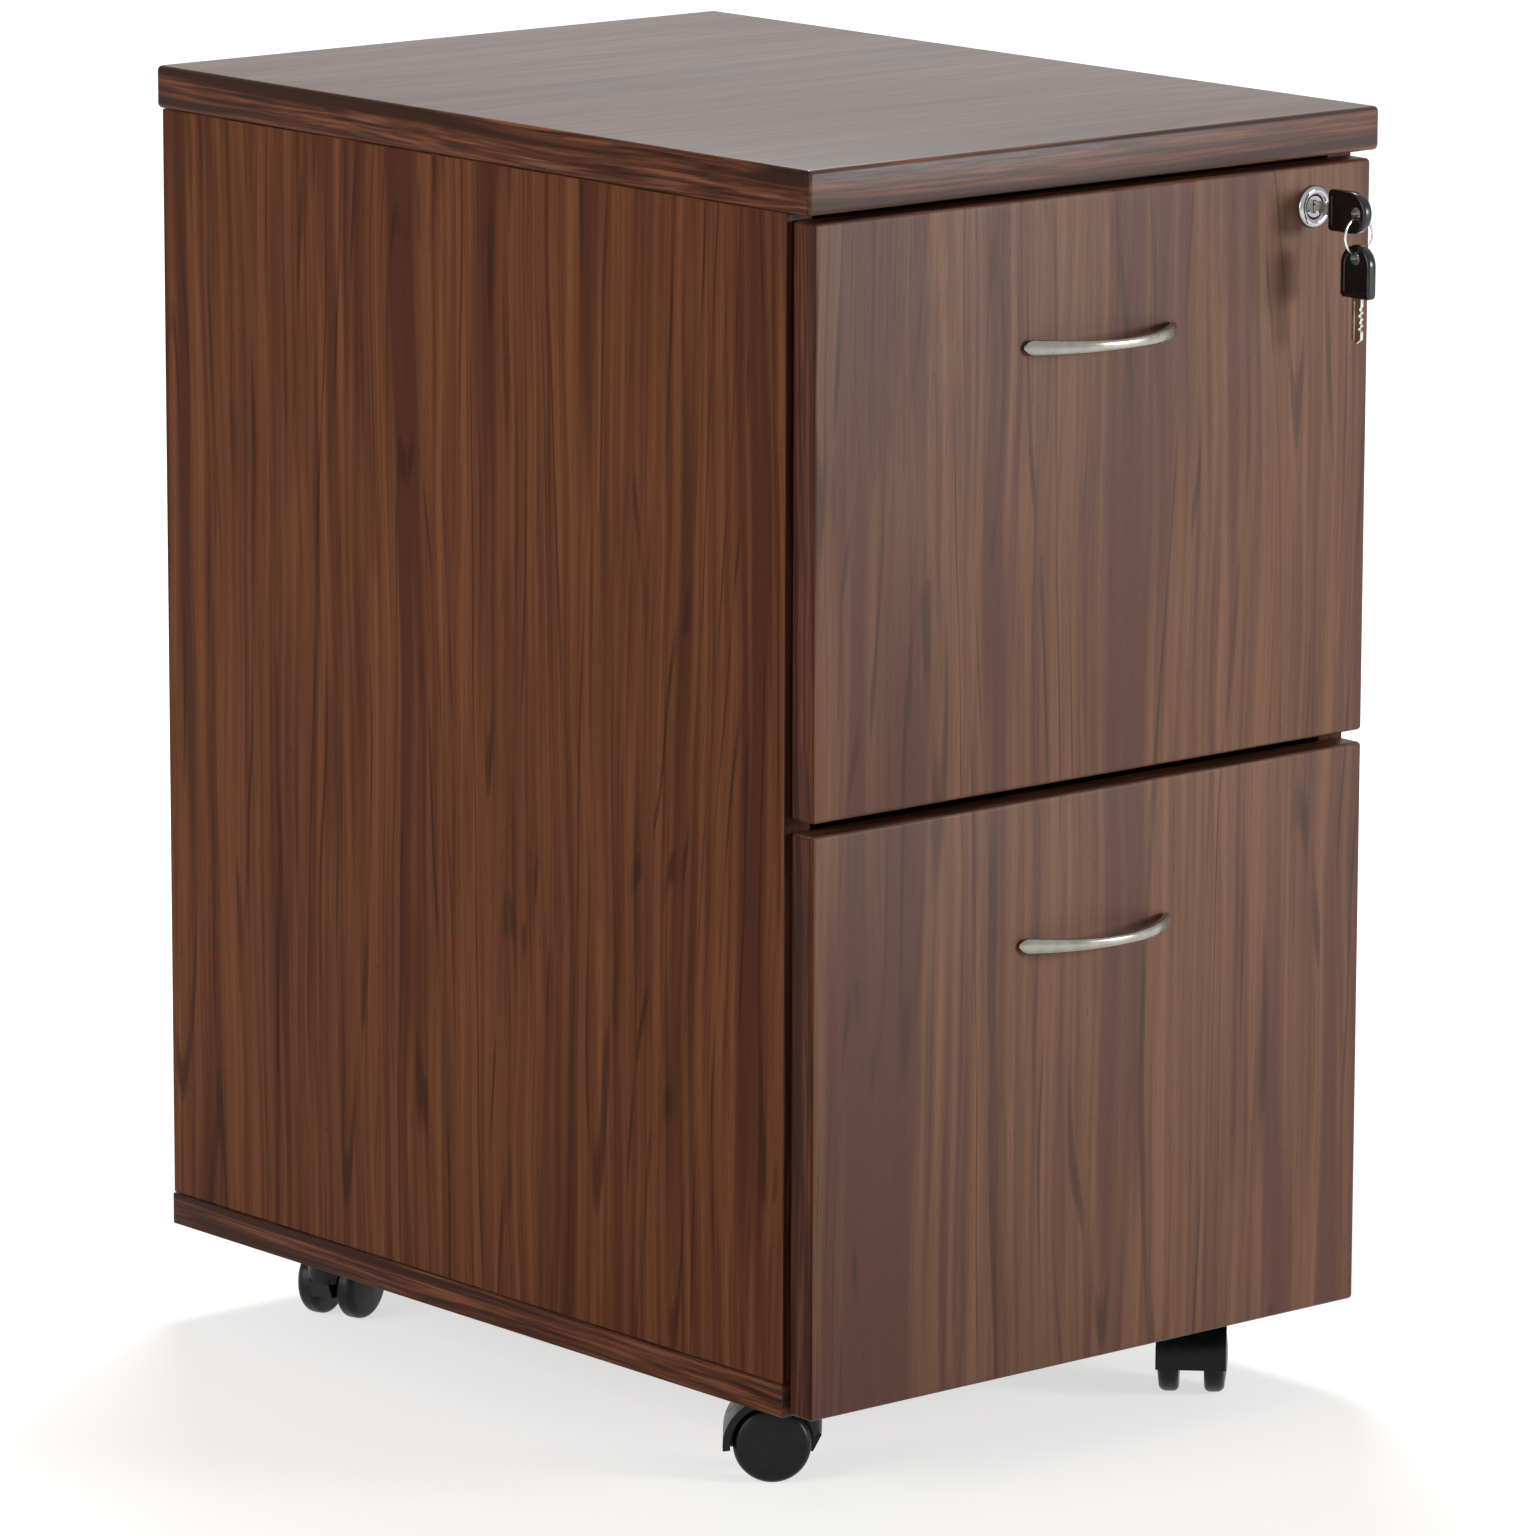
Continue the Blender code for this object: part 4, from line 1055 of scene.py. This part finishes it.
@dataclass
class Slide:
    """One ball-bearing slide: three rolled members, two ball cages and its screws."""

    level: str
    side: str
    ball_radius: float = 1.0 * MM
    cage_thickness: float = 0.5 * MM
    cage_width: float = 3.6 * MM
    ball_pitch: float = 18 * MM
    cage_share: float = 0.46
    steel: float = 1.2 * MM
    screw: Screw = field(default_factory=lambda: Screw(3.4 * MM, 1.3 * MM))
    screw_shares: tuple[float, ...] = (0.09, 0.5, 0.9)

    def cage(self, wider: str, narrower: str, at_rear: bool) -> Mesh:
        """Makes the two ball strips between two members.

        Args:
            wider: the outer member's node.
            narrower: the inner member's node.
            at_rear: True puts the strips in the rear half, False in the front half.

        Returns:
            Both strips with their balls.
        """
        wide_low, wide_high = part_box(wider)
        thin_low, thin_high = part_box(narrower)
        x = (max(wide_low[0], thin_low[0]) + min(wide_high[0], thin_high[0])) / 2
        half_gap = ((wide_high[2] - self.steel) + thin_high[2]) / 2 - middle(wider).z
        length = (thin_high[1] - thin_low[1]) * self.cage_share
        start = thin_high[1] - length if at_rear else thin_low[1]
        parts = []
        for sign in (-1, 1):
            z = middle(wider).z + sign * half_gap
            half = self.cage_width / 2
            low = (x - half, start, z - self.cage_thickness / 2)
            high = (x + half, start + length, z + self.cage_thickness / 2)
            parts.append(block(low, high))
            for step in range(int(length / self.ball_pitch)):
                ball = bmesh.new()
                bmesh.ops.create_uvsphere(ball, u_segments=8, v_segments=6, radius=self.ball_radius)
                y = start + self.ball_pitch * (step + 0.5)
                parts.append(moved(ball, Matrix.Translation((x, y, z))))
        return together(parts)

    def screws(self, member: str, body: str, inward: bool) -> None:
        """Adds the screws through one member's web.

        Args:
            member: cabinet_rail or drawer_rail.
            body: the body that carries it.
            inward: True if the heads look towards the drawer.
        """
        low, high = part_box(f"{self.level}_{self.side}_{member}")
        looks_right = (self.side == "left") == inward
        x = low[0] + self.steel if looks_right else high[0] - self.steel
        facing = FACING_RIGHT if looks_right else FACING_LEFT
        z = (low[2] + high[2]) / 2
        rows = [low[1] + (high[1] - low[1]) * share for share in self.screw_shares]
        heads = [self.screw.head(Vector((x, y, z)), facing) for y in rows]
        put(f"{self.level}_{self.side}_{member}_screws", together(heads), [SCREW_ZINC], body)

    def build(self) -> None:
        """Builds the whole slide."""
        stem = f"{self.level}_{self.side}"
        for member in ("cabinet_rail", "middle_rail", "drawer_rail"):
            dress(f"{stem}_{member}", RAIL_ZINC)
        outer = self.cage(f"{stem}_cabinet_rail", f"{stem}_middle_rail", at_rear=True)
        inner = self.cage(f"{stem}_middle_rail", f"{stem}_drawer_rail", at_rear=False)
        cages = together([outer, inner])
        put(f"{stem}_ball_cages", cages, [BALL_STEEL], f"{stem}_middle_rail")
        self.screws("cabinet_rail", "cabinet", inward=True)
        self.screws("drawer_rail", f"{self.level}_drawer", inward=False)


@dataclass
class Handle:
    """A bow handle whose oval bar is taller at its feet than at its middle."""

    level: str
    thickness: float = 4.2 * MM
    waist: float = 5.6 * MM
    bow_power: float = 2.2
    foot_power: float = 1.5
    stations: int = 64
    section_points: int = 28
    section_power: float = 2.6
    end_round: float = 4.0 * MM
    end_least: float = 0.35

    def section(self) -> Outline:
        """Gives the bar's rounded section, one unit thick and one unit tall."""
        power = 2 / self.section_power
        ring = arc((0.0, 0.0), 1.0, 0.0, math.tau, self.section_points)[:-1]
        return [tuple(math.copysign(abs(part) ** power, part) / 2 for part in at) for at in ring]

    def build(self) -> None:
        """Sweeps the bar from foot to foot along its bow."""
        low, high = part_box(f"{self.level}_handle")
        half_length = (high[0] - low[0]) / 2
        foot = high[2] - low[2]
        projection = high[1] - low[1]
        height = (low[2] + high[2]) / 2
        frames = []
        for station in range(self.stations + 1):
            share = -math.cos(math.pi * station / self.stations)
            bow = 1 - abs(share) ** self.bow_power
            slope = self.bow_power * abs(share) ** (self.bow_power - 1) * projection / half_length
            tilt = math.atan(slope) * math.copysign(1, -share)
            tall = self.waist + (foot - self.waist) * abs(share) ** self.foot_power
            left = min((1 - abs(share)) * half_length / self.end_round, 1.0)
            tall *= max(math.sqrt(1 - (1 - left) ** 2), self.end_least)
            along = share * (half_length - self.thickness / 2)
            centre = Vector((along, high[1] - (projection - self.thickness / 2) * bow, height))
            # The section's own X points out of the bow, its Y up, and its Z along the bar.
            outward = Vector((-math.sin(tilt), -math.cos(tilt), 0.0)) * self.thickness
            upward = Vector((0.0, 0.0, tall))
            ahead = outward.cross(upward).normalized()
            frames.append(framed(centre, outward, upward, ahead))
        bm = swept(self.section(), frames)
        for vert in bm.verts:
            vert.co.y = min(vert.co.y, high[1])
        stem = self.level
        put(f"{stem}_bow_handle", bm, [HANDLE_NICKEL], f"{stem}_drawer", [f"{stem}_handle"])


# ---- lock and keys ----
@dataclass
class Lock:
    """The lock's chromed housing, its plug and cam, and the bar that the cam lifts."""

    barrel: float = 9.0 * MM
    bore: float = 6.1 * MM
    seat: float = 0.3 * MM
    segments: int = 72

    def build(self) -> None:
        """Builds the housing and dresses the works behind it."""
        low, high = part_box("lock_housing")
        face_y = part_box("upper_drawer_front")[0][1]
        flange = (high[0] - low[0]) / 2
        stand = face_y - low[1]
        tail = high[1] - face_y
        lip = (flange - self.bore - self.seat) / 2
        crown = arc((flange - lip, stand - lip), lip, 0, math.pi, 14)
        profile = [(flange, self.seat), *crown, (self.bore, 0.0), (self.bore, -tail)]
        profile += [(self.barrel, -tail), (self.barrel, self.seat)]
        at = middle("lock_housing")
        centre = Matrix.Translation((at.x, face_y, at.z))
        ring = moved(turned(profile, self.segments, closed=True), centre @ FACING_FRONT)
        put("lock_ring_and_barrel", ring, [LOCK_CHROME], "upper_drawer", ["lock_housing"])
        dress("lock_plug", LOCK_CHROME)
        dress("lock_cam", SCREW_ZINC)
        dress("lock_bar", RAIL_ZINC)


@dataclass
class Keys:
    """Two cut keys with moulded heads, one in the lock and one hanging from the split ring."""

    head_length: float = 29 * MM
    head_corner: float = 2.4 * MM
    head_edge: float = 1.6 * MM
    hole_radius: float = 3.5 * MM
    hole_inset: float = 7.5 * MM
    panel_inset: float = 3.2 * MM
    panel_depth: float = 0.5 * MM
    blade_reach: float = 24.5 * MM
    blade_tang: float = 8 * MM
    blade_width: float = 6.8 * MM
    blade_thickness: float = 2 * MM
    cut_depth: float = 1.6 * MM
    shallow_cut: float = 0.6
    cut_top: float = 0.4
    cut_floor: float = 0.12
    cuts: int = 4
    tip_share: float = 0.7
    groove_depth: float = 0.5 * MM
    groove_start: float = 1.5 * MM
    groove_places: tuple[float, float] = (-1.4 * MM, 0.2 * MM)
    wire: float = 1.3 * MM
    coil_steps: int = 112
    coil_start: float = math.radians(-50)

    def head(self) -> Mesh:
        """Makes a head below z = 0 in the YZ plane, flat end at z = 0, with the ring's hole."""
        low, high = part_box("spare_key_head")
        half = (high[1] - low[1]) / 2
        thick = high[0] - low[0]
        corner = self.head_corner
        outline = arc((half - corner, -corner), corner, 0, math.pi / 2, 6)
        outline += arc((corner - half, -corner), corner, math.pi / 2, math.pi, 6)
        outline += arc((0, half - self.head_length), half, math.pi, math.tau, 36)
        bm = extruded(outline, thick)
        rims = [edge for edge in bm.edges if abs(edge.verts[0].co.z - edge.verts[1].co.z) < thick / 2]
        soften(bm, rims, self.head_edge, 4)
        broad = [face for face in bm.faces if face.calc_area() > half * half]
        bmesh.ops.inset_region(bm, faces=broad, thickness=self.panel_inset - self.head_edge)
        depth = self.panel_depth
        bmesh.ops.inset_region(bm, faces=broad, thickness=depth, depth=-depth)
        upright = Matrix.Translation((-thick / 2, 0, 0)) @ STOOD_IN_YZ
        hole = Matrix.Translation((0, 0, self.hole_inset - self.head_length)) @ FACING_RIGHT
        return carved(moved(bm, upright), removed=[rod(self.hole_radius, 0.05, 40, hole)])

    def blade(self) -> Mesh:
        """Makes a blade along +Z from z = 0, with its cuts, two milled grooves and its tang."""
        half = self.blade_width / 2
        pitch = (self.blade_reach - self.blade_width) / (self.cuts + 1)
        outline = [(-half, -self.blade_tang), (half, -self.blade_tang)]
        for cut in range(self.cuts):
            centre = self.blade_width * 0.6 + (cut + 0.5) * pitch
            depth = self.cut_depth * (1.0 if cut % 2 else self.shallow_cut)
            top, floor = self.cut_top * pitch, self.cut_floor * pitch
            outline += [(half, centre - top), (half - depth, centre - floor)]
            outline += [(half - depth, centre + floor), (half, centre + top)]
        shoulder = self.blade_reach - half * self.tip_share
        outline += [(half, shoulder), (0, self.blade_reach), (-half, shoulder)]
        bm = extruded(outline, self.blade_thickness)
        upright = Matrix.Translation((-self.blade_thickness / 2, 0, 0)) @ STOOD_IN_YZ
        grooves = []
        for x, y in zip((-self.blade_thickness / 2, self.blade_thickness / 2), self.groove_places):
            depth = self.groove_depth
            low = (x - depth, y - depth, self.groove_start)
            grooves.append(block(low, (x + depth, y + depth, self.blade_reach * 1.2)))
        return carved(moved(bm, upright), removed=grooves)

    def split_ring(self) -> Mesh:
        """Makes the ring from two turns of half-round spring wire."""
        low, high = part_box("key_ring")
        radius = (high[0] - low[0] - self.wire) / 2
        centre = middle("key_ring")
        steps = self.coil_steps
        coil = self.wire / 2
        section = [(a, b / 2) for a, b in arc((0.0, 0.0), coil, 0.0, math.tau, 10)[:-1]]
        frames = []
        for step in range(steps + 1):
            turn = self.coil_start + 2 * math.tau * step / steps
            outward = Vector((math.cos(turn), 0.0, math.sin(turn)))
            axial = Vector((0.0, 1.0, 0.0))
            ahead = outward.cross(axial)
            rise = (step / steps - 0.5) * coil
            at = centre + outward * radius + axial * rise
            frames.append(framed(at, outward, axial, ahead))
        return swept(section, frames)

    def build(self) -> None:
        """Builds the key in the lock, the ring and the spare key."""
        seat_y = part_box("key_head")[1][1]
        lock = middle("key_head")
        inserted = Matrix.Translation((lock.x, seat_y, lock.z)) @ FACING_BACK
        put("split_ring", self.split_ring(), [RING_STEEL], "key_ring", ["key_ring"])
        spare = middle("spare_key_head")
        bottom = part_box("spare_key_head")[0][2]
        hanging = Matrix.Translation((spare.x, spare.y, bottom)) @ FACING_DOWN
        for piece, body, place in (("inserted", "key", inserted), ("hanging", "spare_key", hanging)):
            blade, head = moved(self.blade(), place), moved(self.head(), place)
            put(f"{piece}_key_blade", blade, [KEY_NICKEL], body, [f"{body}_blade"])
            put(f"{piece}_key_head", head, [KEY_PLASTIC], body, [f"{body}_head"])


# ---- castors ----
@dataclass
class Castor:
    """A hooded twin-wheel castor: steel plate and its screws, moulded hood and two wheels."""

    corner: str
    wheel_width: float = 12.7 * MM
    wheel_corner: float = 3 * MM
    tread_corner: float = 4.6 * MM
    tread_fall: float = 1.2 * MM
    hub_depth: float = 0.6 * MM
    # Shares of the wheel's radius, and how far its outer face has fallen there.
    dome: Outline = field(
        default_factory=lambda: [
            (0.72, 1.35 * MM), (0.55, 0.8 * MM), (0.38, 0.38 * MM), (0.2, 0.1 * MM), (0, 0)
        ]
    )
    web_width: float = 13.4 * MM
    side_gap: float = 0.4 * MM
    fender_gap: float = 1.5 * MM
    fender_thickness: float = 4 * MM
    fender_start: float = math.radians(-6)
    fender_end: float = math.radians(128)
    neck_radius: float = 11.8 * MM
    neck_bottom: float = 24 * MM
    neck_flare: float = 3 * MM
    nose_bottom: float = 15 * MM
    nose_reach: float = 7 * MM
    web_foot: float = 14 * MM
    web_setback: float = math.radians(1.5)
    side_setback: float = 0.3 * MM
    lap: float = 0.2 * MM
    edge_round: float = 0.7 * MM
    plate_thickness: float = 2 * MM
    screw_inset: float = 3.8 * MM
    screw: Screw = field(default_factory=lambda: Screw(3.6 * MM, 0.8 * MM))

    @property
    def stem(self) -> str:
        """The start of the castor's node names."""
        return f"{self.corner}_castor"

    def axle(self) -> tuple[Matrix, float, float]:
        """Works out the castor's place.

        Returns:
            The frame with the swivel axis on Z and the wheels towards +X, the trail of the axle
            behind that axis, and the wheel's radius.
        """
        swivel = middle(f"{self.stem}_plate")
        wheels = (middle(f"{self.stem}_left_wheel") + middle(f"{self.stem}_right_wheel")) / 2
        reach = Vector((wheels.x - swivel.x, wheels.y - swivel.y))
        heading = math.atan2(reach.y, reach.x)
        place = Matrix.Translation((swivel.x, swivel.y, 0.0)) @ Matrix.Rotation(heading, 4, "Z")
        return place, reach.length, wheels.z

    def hood(self) -> Mesh:
        """Makes the hood: a neck under the plate, a fender over the wheels and a web between them."""
        _, trail, wheel_radius = self.axle()
        top_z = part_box(f"{self.stem}_hood")[1][2]
        wheel = (trail, wheel_radius)
        inner = wheel_radius + self.fender_gap
        outer = inner + self.fender_thickness
        half_width = self.web_width / 2 + self.side_gap + self.wheel_width - self.side_setback
        band = arc(wheel, outer, self.fender_start, self.fender_end, 48)
        band += arc(wheel, inner - self.fender_gap, self.fender_end, self.fender_start, 48)
        lap = self.lap
        fender = moved(
            extruded(band, 2 * half_width), Matrix.Translation((0, -half_width, 0)) @ STOOD_IN_XZ
        )
        # The neck widens to the plate in two steps.
        neck, flare = self.neck_radius, self.neck_flare
        profile = [(0, self.neck_bottom), (neck, self.neck_bottom), (neck, top_z - flare * 1.6)]
        profile += [(neck + flare * 0.3, top_z - flare * 0.7), (neck + flare, top_z), (0, top_z)]
        rooms = []
        for sign in (-1, 1):
            y = sign * (self.web_width / 2 - lap + self.wheel_width)
            at = Matrix.Translation((trail, y, wheel_radius)) @ FACING_FRONT
            rooms.append(rod(inner, 2 * self.wheel_width, 96, at))
        shell = carved(turned(profile, 64), joined=[fender], removed=rooms)
        start, end = self.fender_start + self.web_setback, self.fender_end - self.web_setback
        web = arc(wheel, outer - lap, start, end, 40)
        web += [(lap - neck, self.neck_bottom), (-self.nose_reach, self.nose_bottom)]
        web += [(trail + self.web_foot, self.nose_bottom)]
        plate = moved(
            extruded(web, self.web_width),
            Matrix.Translation((0, -self.web_width / 2, 0)) @ STOOD_IN_XZ,
        )
        return carved(shell, joined=[plate])

    def wheel(self) -> Mesh:
        """Makes a wheel on +Z with its hub face at z = 0, a crowned tread and a domed outer face."""
        _, _, radius = self.axle()
        width = self.wheel_width
        corner = self.wheel_corner
        tread = self.tread_corner
        hub = self.hub_depth
        profile = [(0, hub), (radius * 0.3, hub), (radius * 0.34, 0), (radius - corner, 0)]
        profile += arc((radius - corner, corner), corner, -math.pi / 2, 0, 6)[1:]
        middle_of_round = (radius - tread, width - self.tread_fall - tread)
        profile += arc(middle_of_round, tread, 0, math.radians(62), 9)
        profile += [(radius * share, width - fall) for share, fall in self.dome]
        return turned(profile, 72)

    def build(self) -> None:
        """Builds the castor on its bodies."""
        place, trail, radius = self.axle()
        hood = put(
            f"{self.stem}_moulded_hood",
            moved(self.hood(), place),
            [CASTOR_NYLON],
            self.stem,
            [f"{self.stem}_hood"],
        )
        rounding = hood.modifiers.new("edge_round", "BEVEL")
        rounding.width = self.edge_round
        rounding.segments = 3
        rounding.limit_method = "ANGLE"
        rounding.angle_limit = math.radians(38)
        rounding.harden_normals = True
        hub = self.web_width / 2 + self.side_gap
        for side, sign, facing in (("left", 1, FACING_BACK), ("right", -1, FACING_FRONT)):
            at = Matrix.Translation((trail, sign * hub, radius)) @ facing
            put(
                f"{self.corner}_{side}_moulded_wheel",
                moved(self.wheel(), place @ at),
                [TREAD_NYLON],
                f"{self.corner}_{side}_wheel",
                [f"{self.stem}_{side}_wheel"],
            )
        dress(f"{self.stem}_plate", SCREW_ZINC)
        low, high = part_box(f"{self.stem}_plate")
        under = high[2] - self.plate_thickness
        inset = self.screw_inset
        heads = [
            self.screw.head(Vector((x, y, under)), FACING_DOWN)
            for x in (low[0] + inset, high[0] - inset)
            for y in (low[1] + inset, high[1] - inset)
        ]
        put(f"{self.stem}_plate_screws", together(heads), [SCREW_ZINC], "cabinet")


# ---- studio ----
@dataclass(frozen=True)
class Softbox:
    """A soft square light, its power in watts and the share of it that reflections show."""

    name: str
    place: Point
    aim: Point
    size: float
    power: float
    gloss: float

    def build(self) -> None:
        """Adds the light."""
        data = bpy.data.lights.new(self.name, "AREA")
        data.shape = "SQUARE"
        data.size = self.size
        data.energy = self.power
        data.specular_factor = self.gloss
        light = bpy.data.objects.new(self.name, data)
        bpy.context.scene.collection.objects.link(light)
        look = (Vector(self.aim) - Vector(self.place)).to_track_quat("-Z", "Y")
        light.matrix_world = Matrix.Translation(self.place) @ look.to_matrix().to_4x4()


@dataclass
class Studio:
    """Camera, soft lights, pale floor and white surround."""

    camera_place: Point = (-3.1876, -3.7348, 1.3485)
    yaw: float = 0.70477
    pitch: float = 0.2027
    roll: float = 0.0025
    lens_mm: float = 211.8
    sensor_mm: float = 36.0
    floor_half: float = 6.0
    # The floor's painted glow: dimmer near the object as painted shade round its base, full far from it.
    near_glow_painted_shade: float = 0.64
    far_painted_glow: float = 1.0
    glow_start: float = 0.55
    glow_full: float = 1.6
    surround_seen: float = 1.0
    surround_gloss: float = 0.84
    surround_fill: float = 0.28
    lights: tuple[Softbox, ...] = (
        Softbox("key_softbox", (1.9, -3.2, 1.05), (0.0, -0.2, 0.36), 0.9, 86.0, 0.3),
        Softbox("side_softbox", (-3.0, 0.1, 1.1), (0.0, 0.0, 0.36), 1.6, 56.0, 0.2),
        Softbox("top_softbox", (0.9, 1.15, 3.1), (0.0, 0.0, 0.0), 0.9, 66.0, 0.3),
    )

    def camera(self) -> None:
        """Adds the camera and makes it the scene's."""
        data = bpy.data.cameras.new("studio_camera")
        data.lens = self.lens_mm
        data.sensor_width = self.sensor_mm
        data.clip_end = 100.0
        camera = bpy.data.objects.new("studio_camera", data)
        bpy.context.scene.collection.objects.link(camera)
        level_ahead = Vector((math.sin(self.yaw), math.cos(self.yaw), 0.0))
        ahead = level_ahead * math.cos(self.pitch) - Vector((0.0, 0.0, math.sin(self.pitch)))
        level_right = Vector((math.cos(self.yaw), -math.sin(self.yaw), 0.0))
        level_up = level_right.cross(ahead)
        right = math.cos(self.roll) * level_right + math.sin(self.roll) * level_up
        up = right.cross(ahead)
        camera.matrix_world = framed(Vector(self.camera_place), right, up, -ahead)
        bpy.context.scene.camera = camera

    def floor(self) -> None:
        """Adds the floor: pale matt paint with a painted glow that the camera sees as bright as the surround,
        dimmed near the object as a painted shadow round its base.
        """
        bm = bmesh.new()
        bmesh.ops.create_grid(bm, x_segments=12, y_segments=12, size=self.floor_half)
        mesh = bpy.data.meshes.new("studio_floor")
        bm.to_mesh(mesh)
        bm.free()
        made = bpy.data.materials.new("pale_paint_with_painted_glow")
        made.use_nodes = True
        tree = made.node_tree
        shader = tree.nodes["Principled BSDF"]
        place = add_node(tree, "ShaderNodeTexCoord").outputs["Object"]
        grain = add_node(tree, "ShaderNodeTexNoise", {"Vector": place, "Scale": 400.0, "Detail": 2.0})
        stops = ((0.3, "#B3B2B0"), (0.7, "#B8B7B5"))
        tone = add_node(tree, "ShaderNodeValToRGB", {"Fac": grain.outputs["Fac"]}, stops)
        tree.links.new(tone.outputs["Color"], shader.inputs["Base Color"])
        shader.inputs["Roughness"].default_value = 0.9
        shader.inputs["Specular IOR Level"].default_value = 0.1
        bounced = add_node(tree, "ShaderNodeLightPath").outputs["Is Diffuse Ray"]
        # The paint's own glow is painted light: it grows away from the object, as a floor lit from all round
        # would, so the dimmer floor near the object is painted shade round its base.
        away = add_node(tree, "ShaderNodeVectorMath", {0: place}, operation="LENGTH")
        limits = {1: self.glow_start, 2: self.glow_full, 3: self.near_glow_painted_shade, 4: self.far_painted_glow}
        limits["Value"] = away.outputs["Value"]
        white = add_node(tree, "ShaderNodeMapRange", limits, interpolation_type="SMOOTHSTEP")
        dark = {"Value": bounced, 3: white.outputs["Result"], 4: 0.0}
        glow = add_node(tree, "ShaderNodeMapRange", dark)
        shader.inputs["Emission Color"].default_value = (1.0, 1.0, 1.0, 1.0)
        tree.links.new(glow.outputs["Result"], shader.inputs["Emission Strength"])
        mesh.materials.append(made)
        floor = bpy.data.objects.new("studio_floor", mesh)
        bpy.context.scene.collection.objects.link(floor)

    def surround(self) -> None:
        """Sets the white surround: bright to look at, softer in reflections and as fill light."""
        world = bpy.data.worlds.new("white_surround")
        world.use_nodes = True
        tree = world.node_tree
        path = add_node(tree, "ShaderNodeLightPath")
        level = self.surround_fill
        for ray, value in (("Glossy", self.surround_gloss), ("Camera", self.surround_seen)):
            limits = {"Value": path.outputs[f"Is {ray} Ray"], 3: level, 4: value}
            level = add_node(tree, "ShaderNodeMapRange", limits).outputs["Result"]
        background = tree.nodes["Background"]
        background.inputs["Color"].default_value = (1.0, 1.0, 1.0, 1.0)
        tree.links.new(level, background.inputs["Strength"])
        bpy.context.scene.world = world

    def build(self) -> None:
        """Builds the whole studio."""
        self.camera()
        self.floor()
        self.surround()
        for light in self.lights:
            light.build()
        view = bpy.context.scene.view_settings
        view.view_transform = "Standard"
        view.look = "None"


def main() -> None:
    """Builds the pedestal and its studio."""
    logging.basicConfig(level=logging.INFO, format="%(name)s: %(message)s")
    Carcass().build()
    for level in LEVELS:
        Drawer(level).build()
        Handle(level).build()
        for side in SIDES:
            Slide(level, side).build()
    Lock().build()
    Keys().build()
    for corner in CORNERS:
        Castor(corner).build()
    Studio().build()


if __name__ == "__main__":
    main()
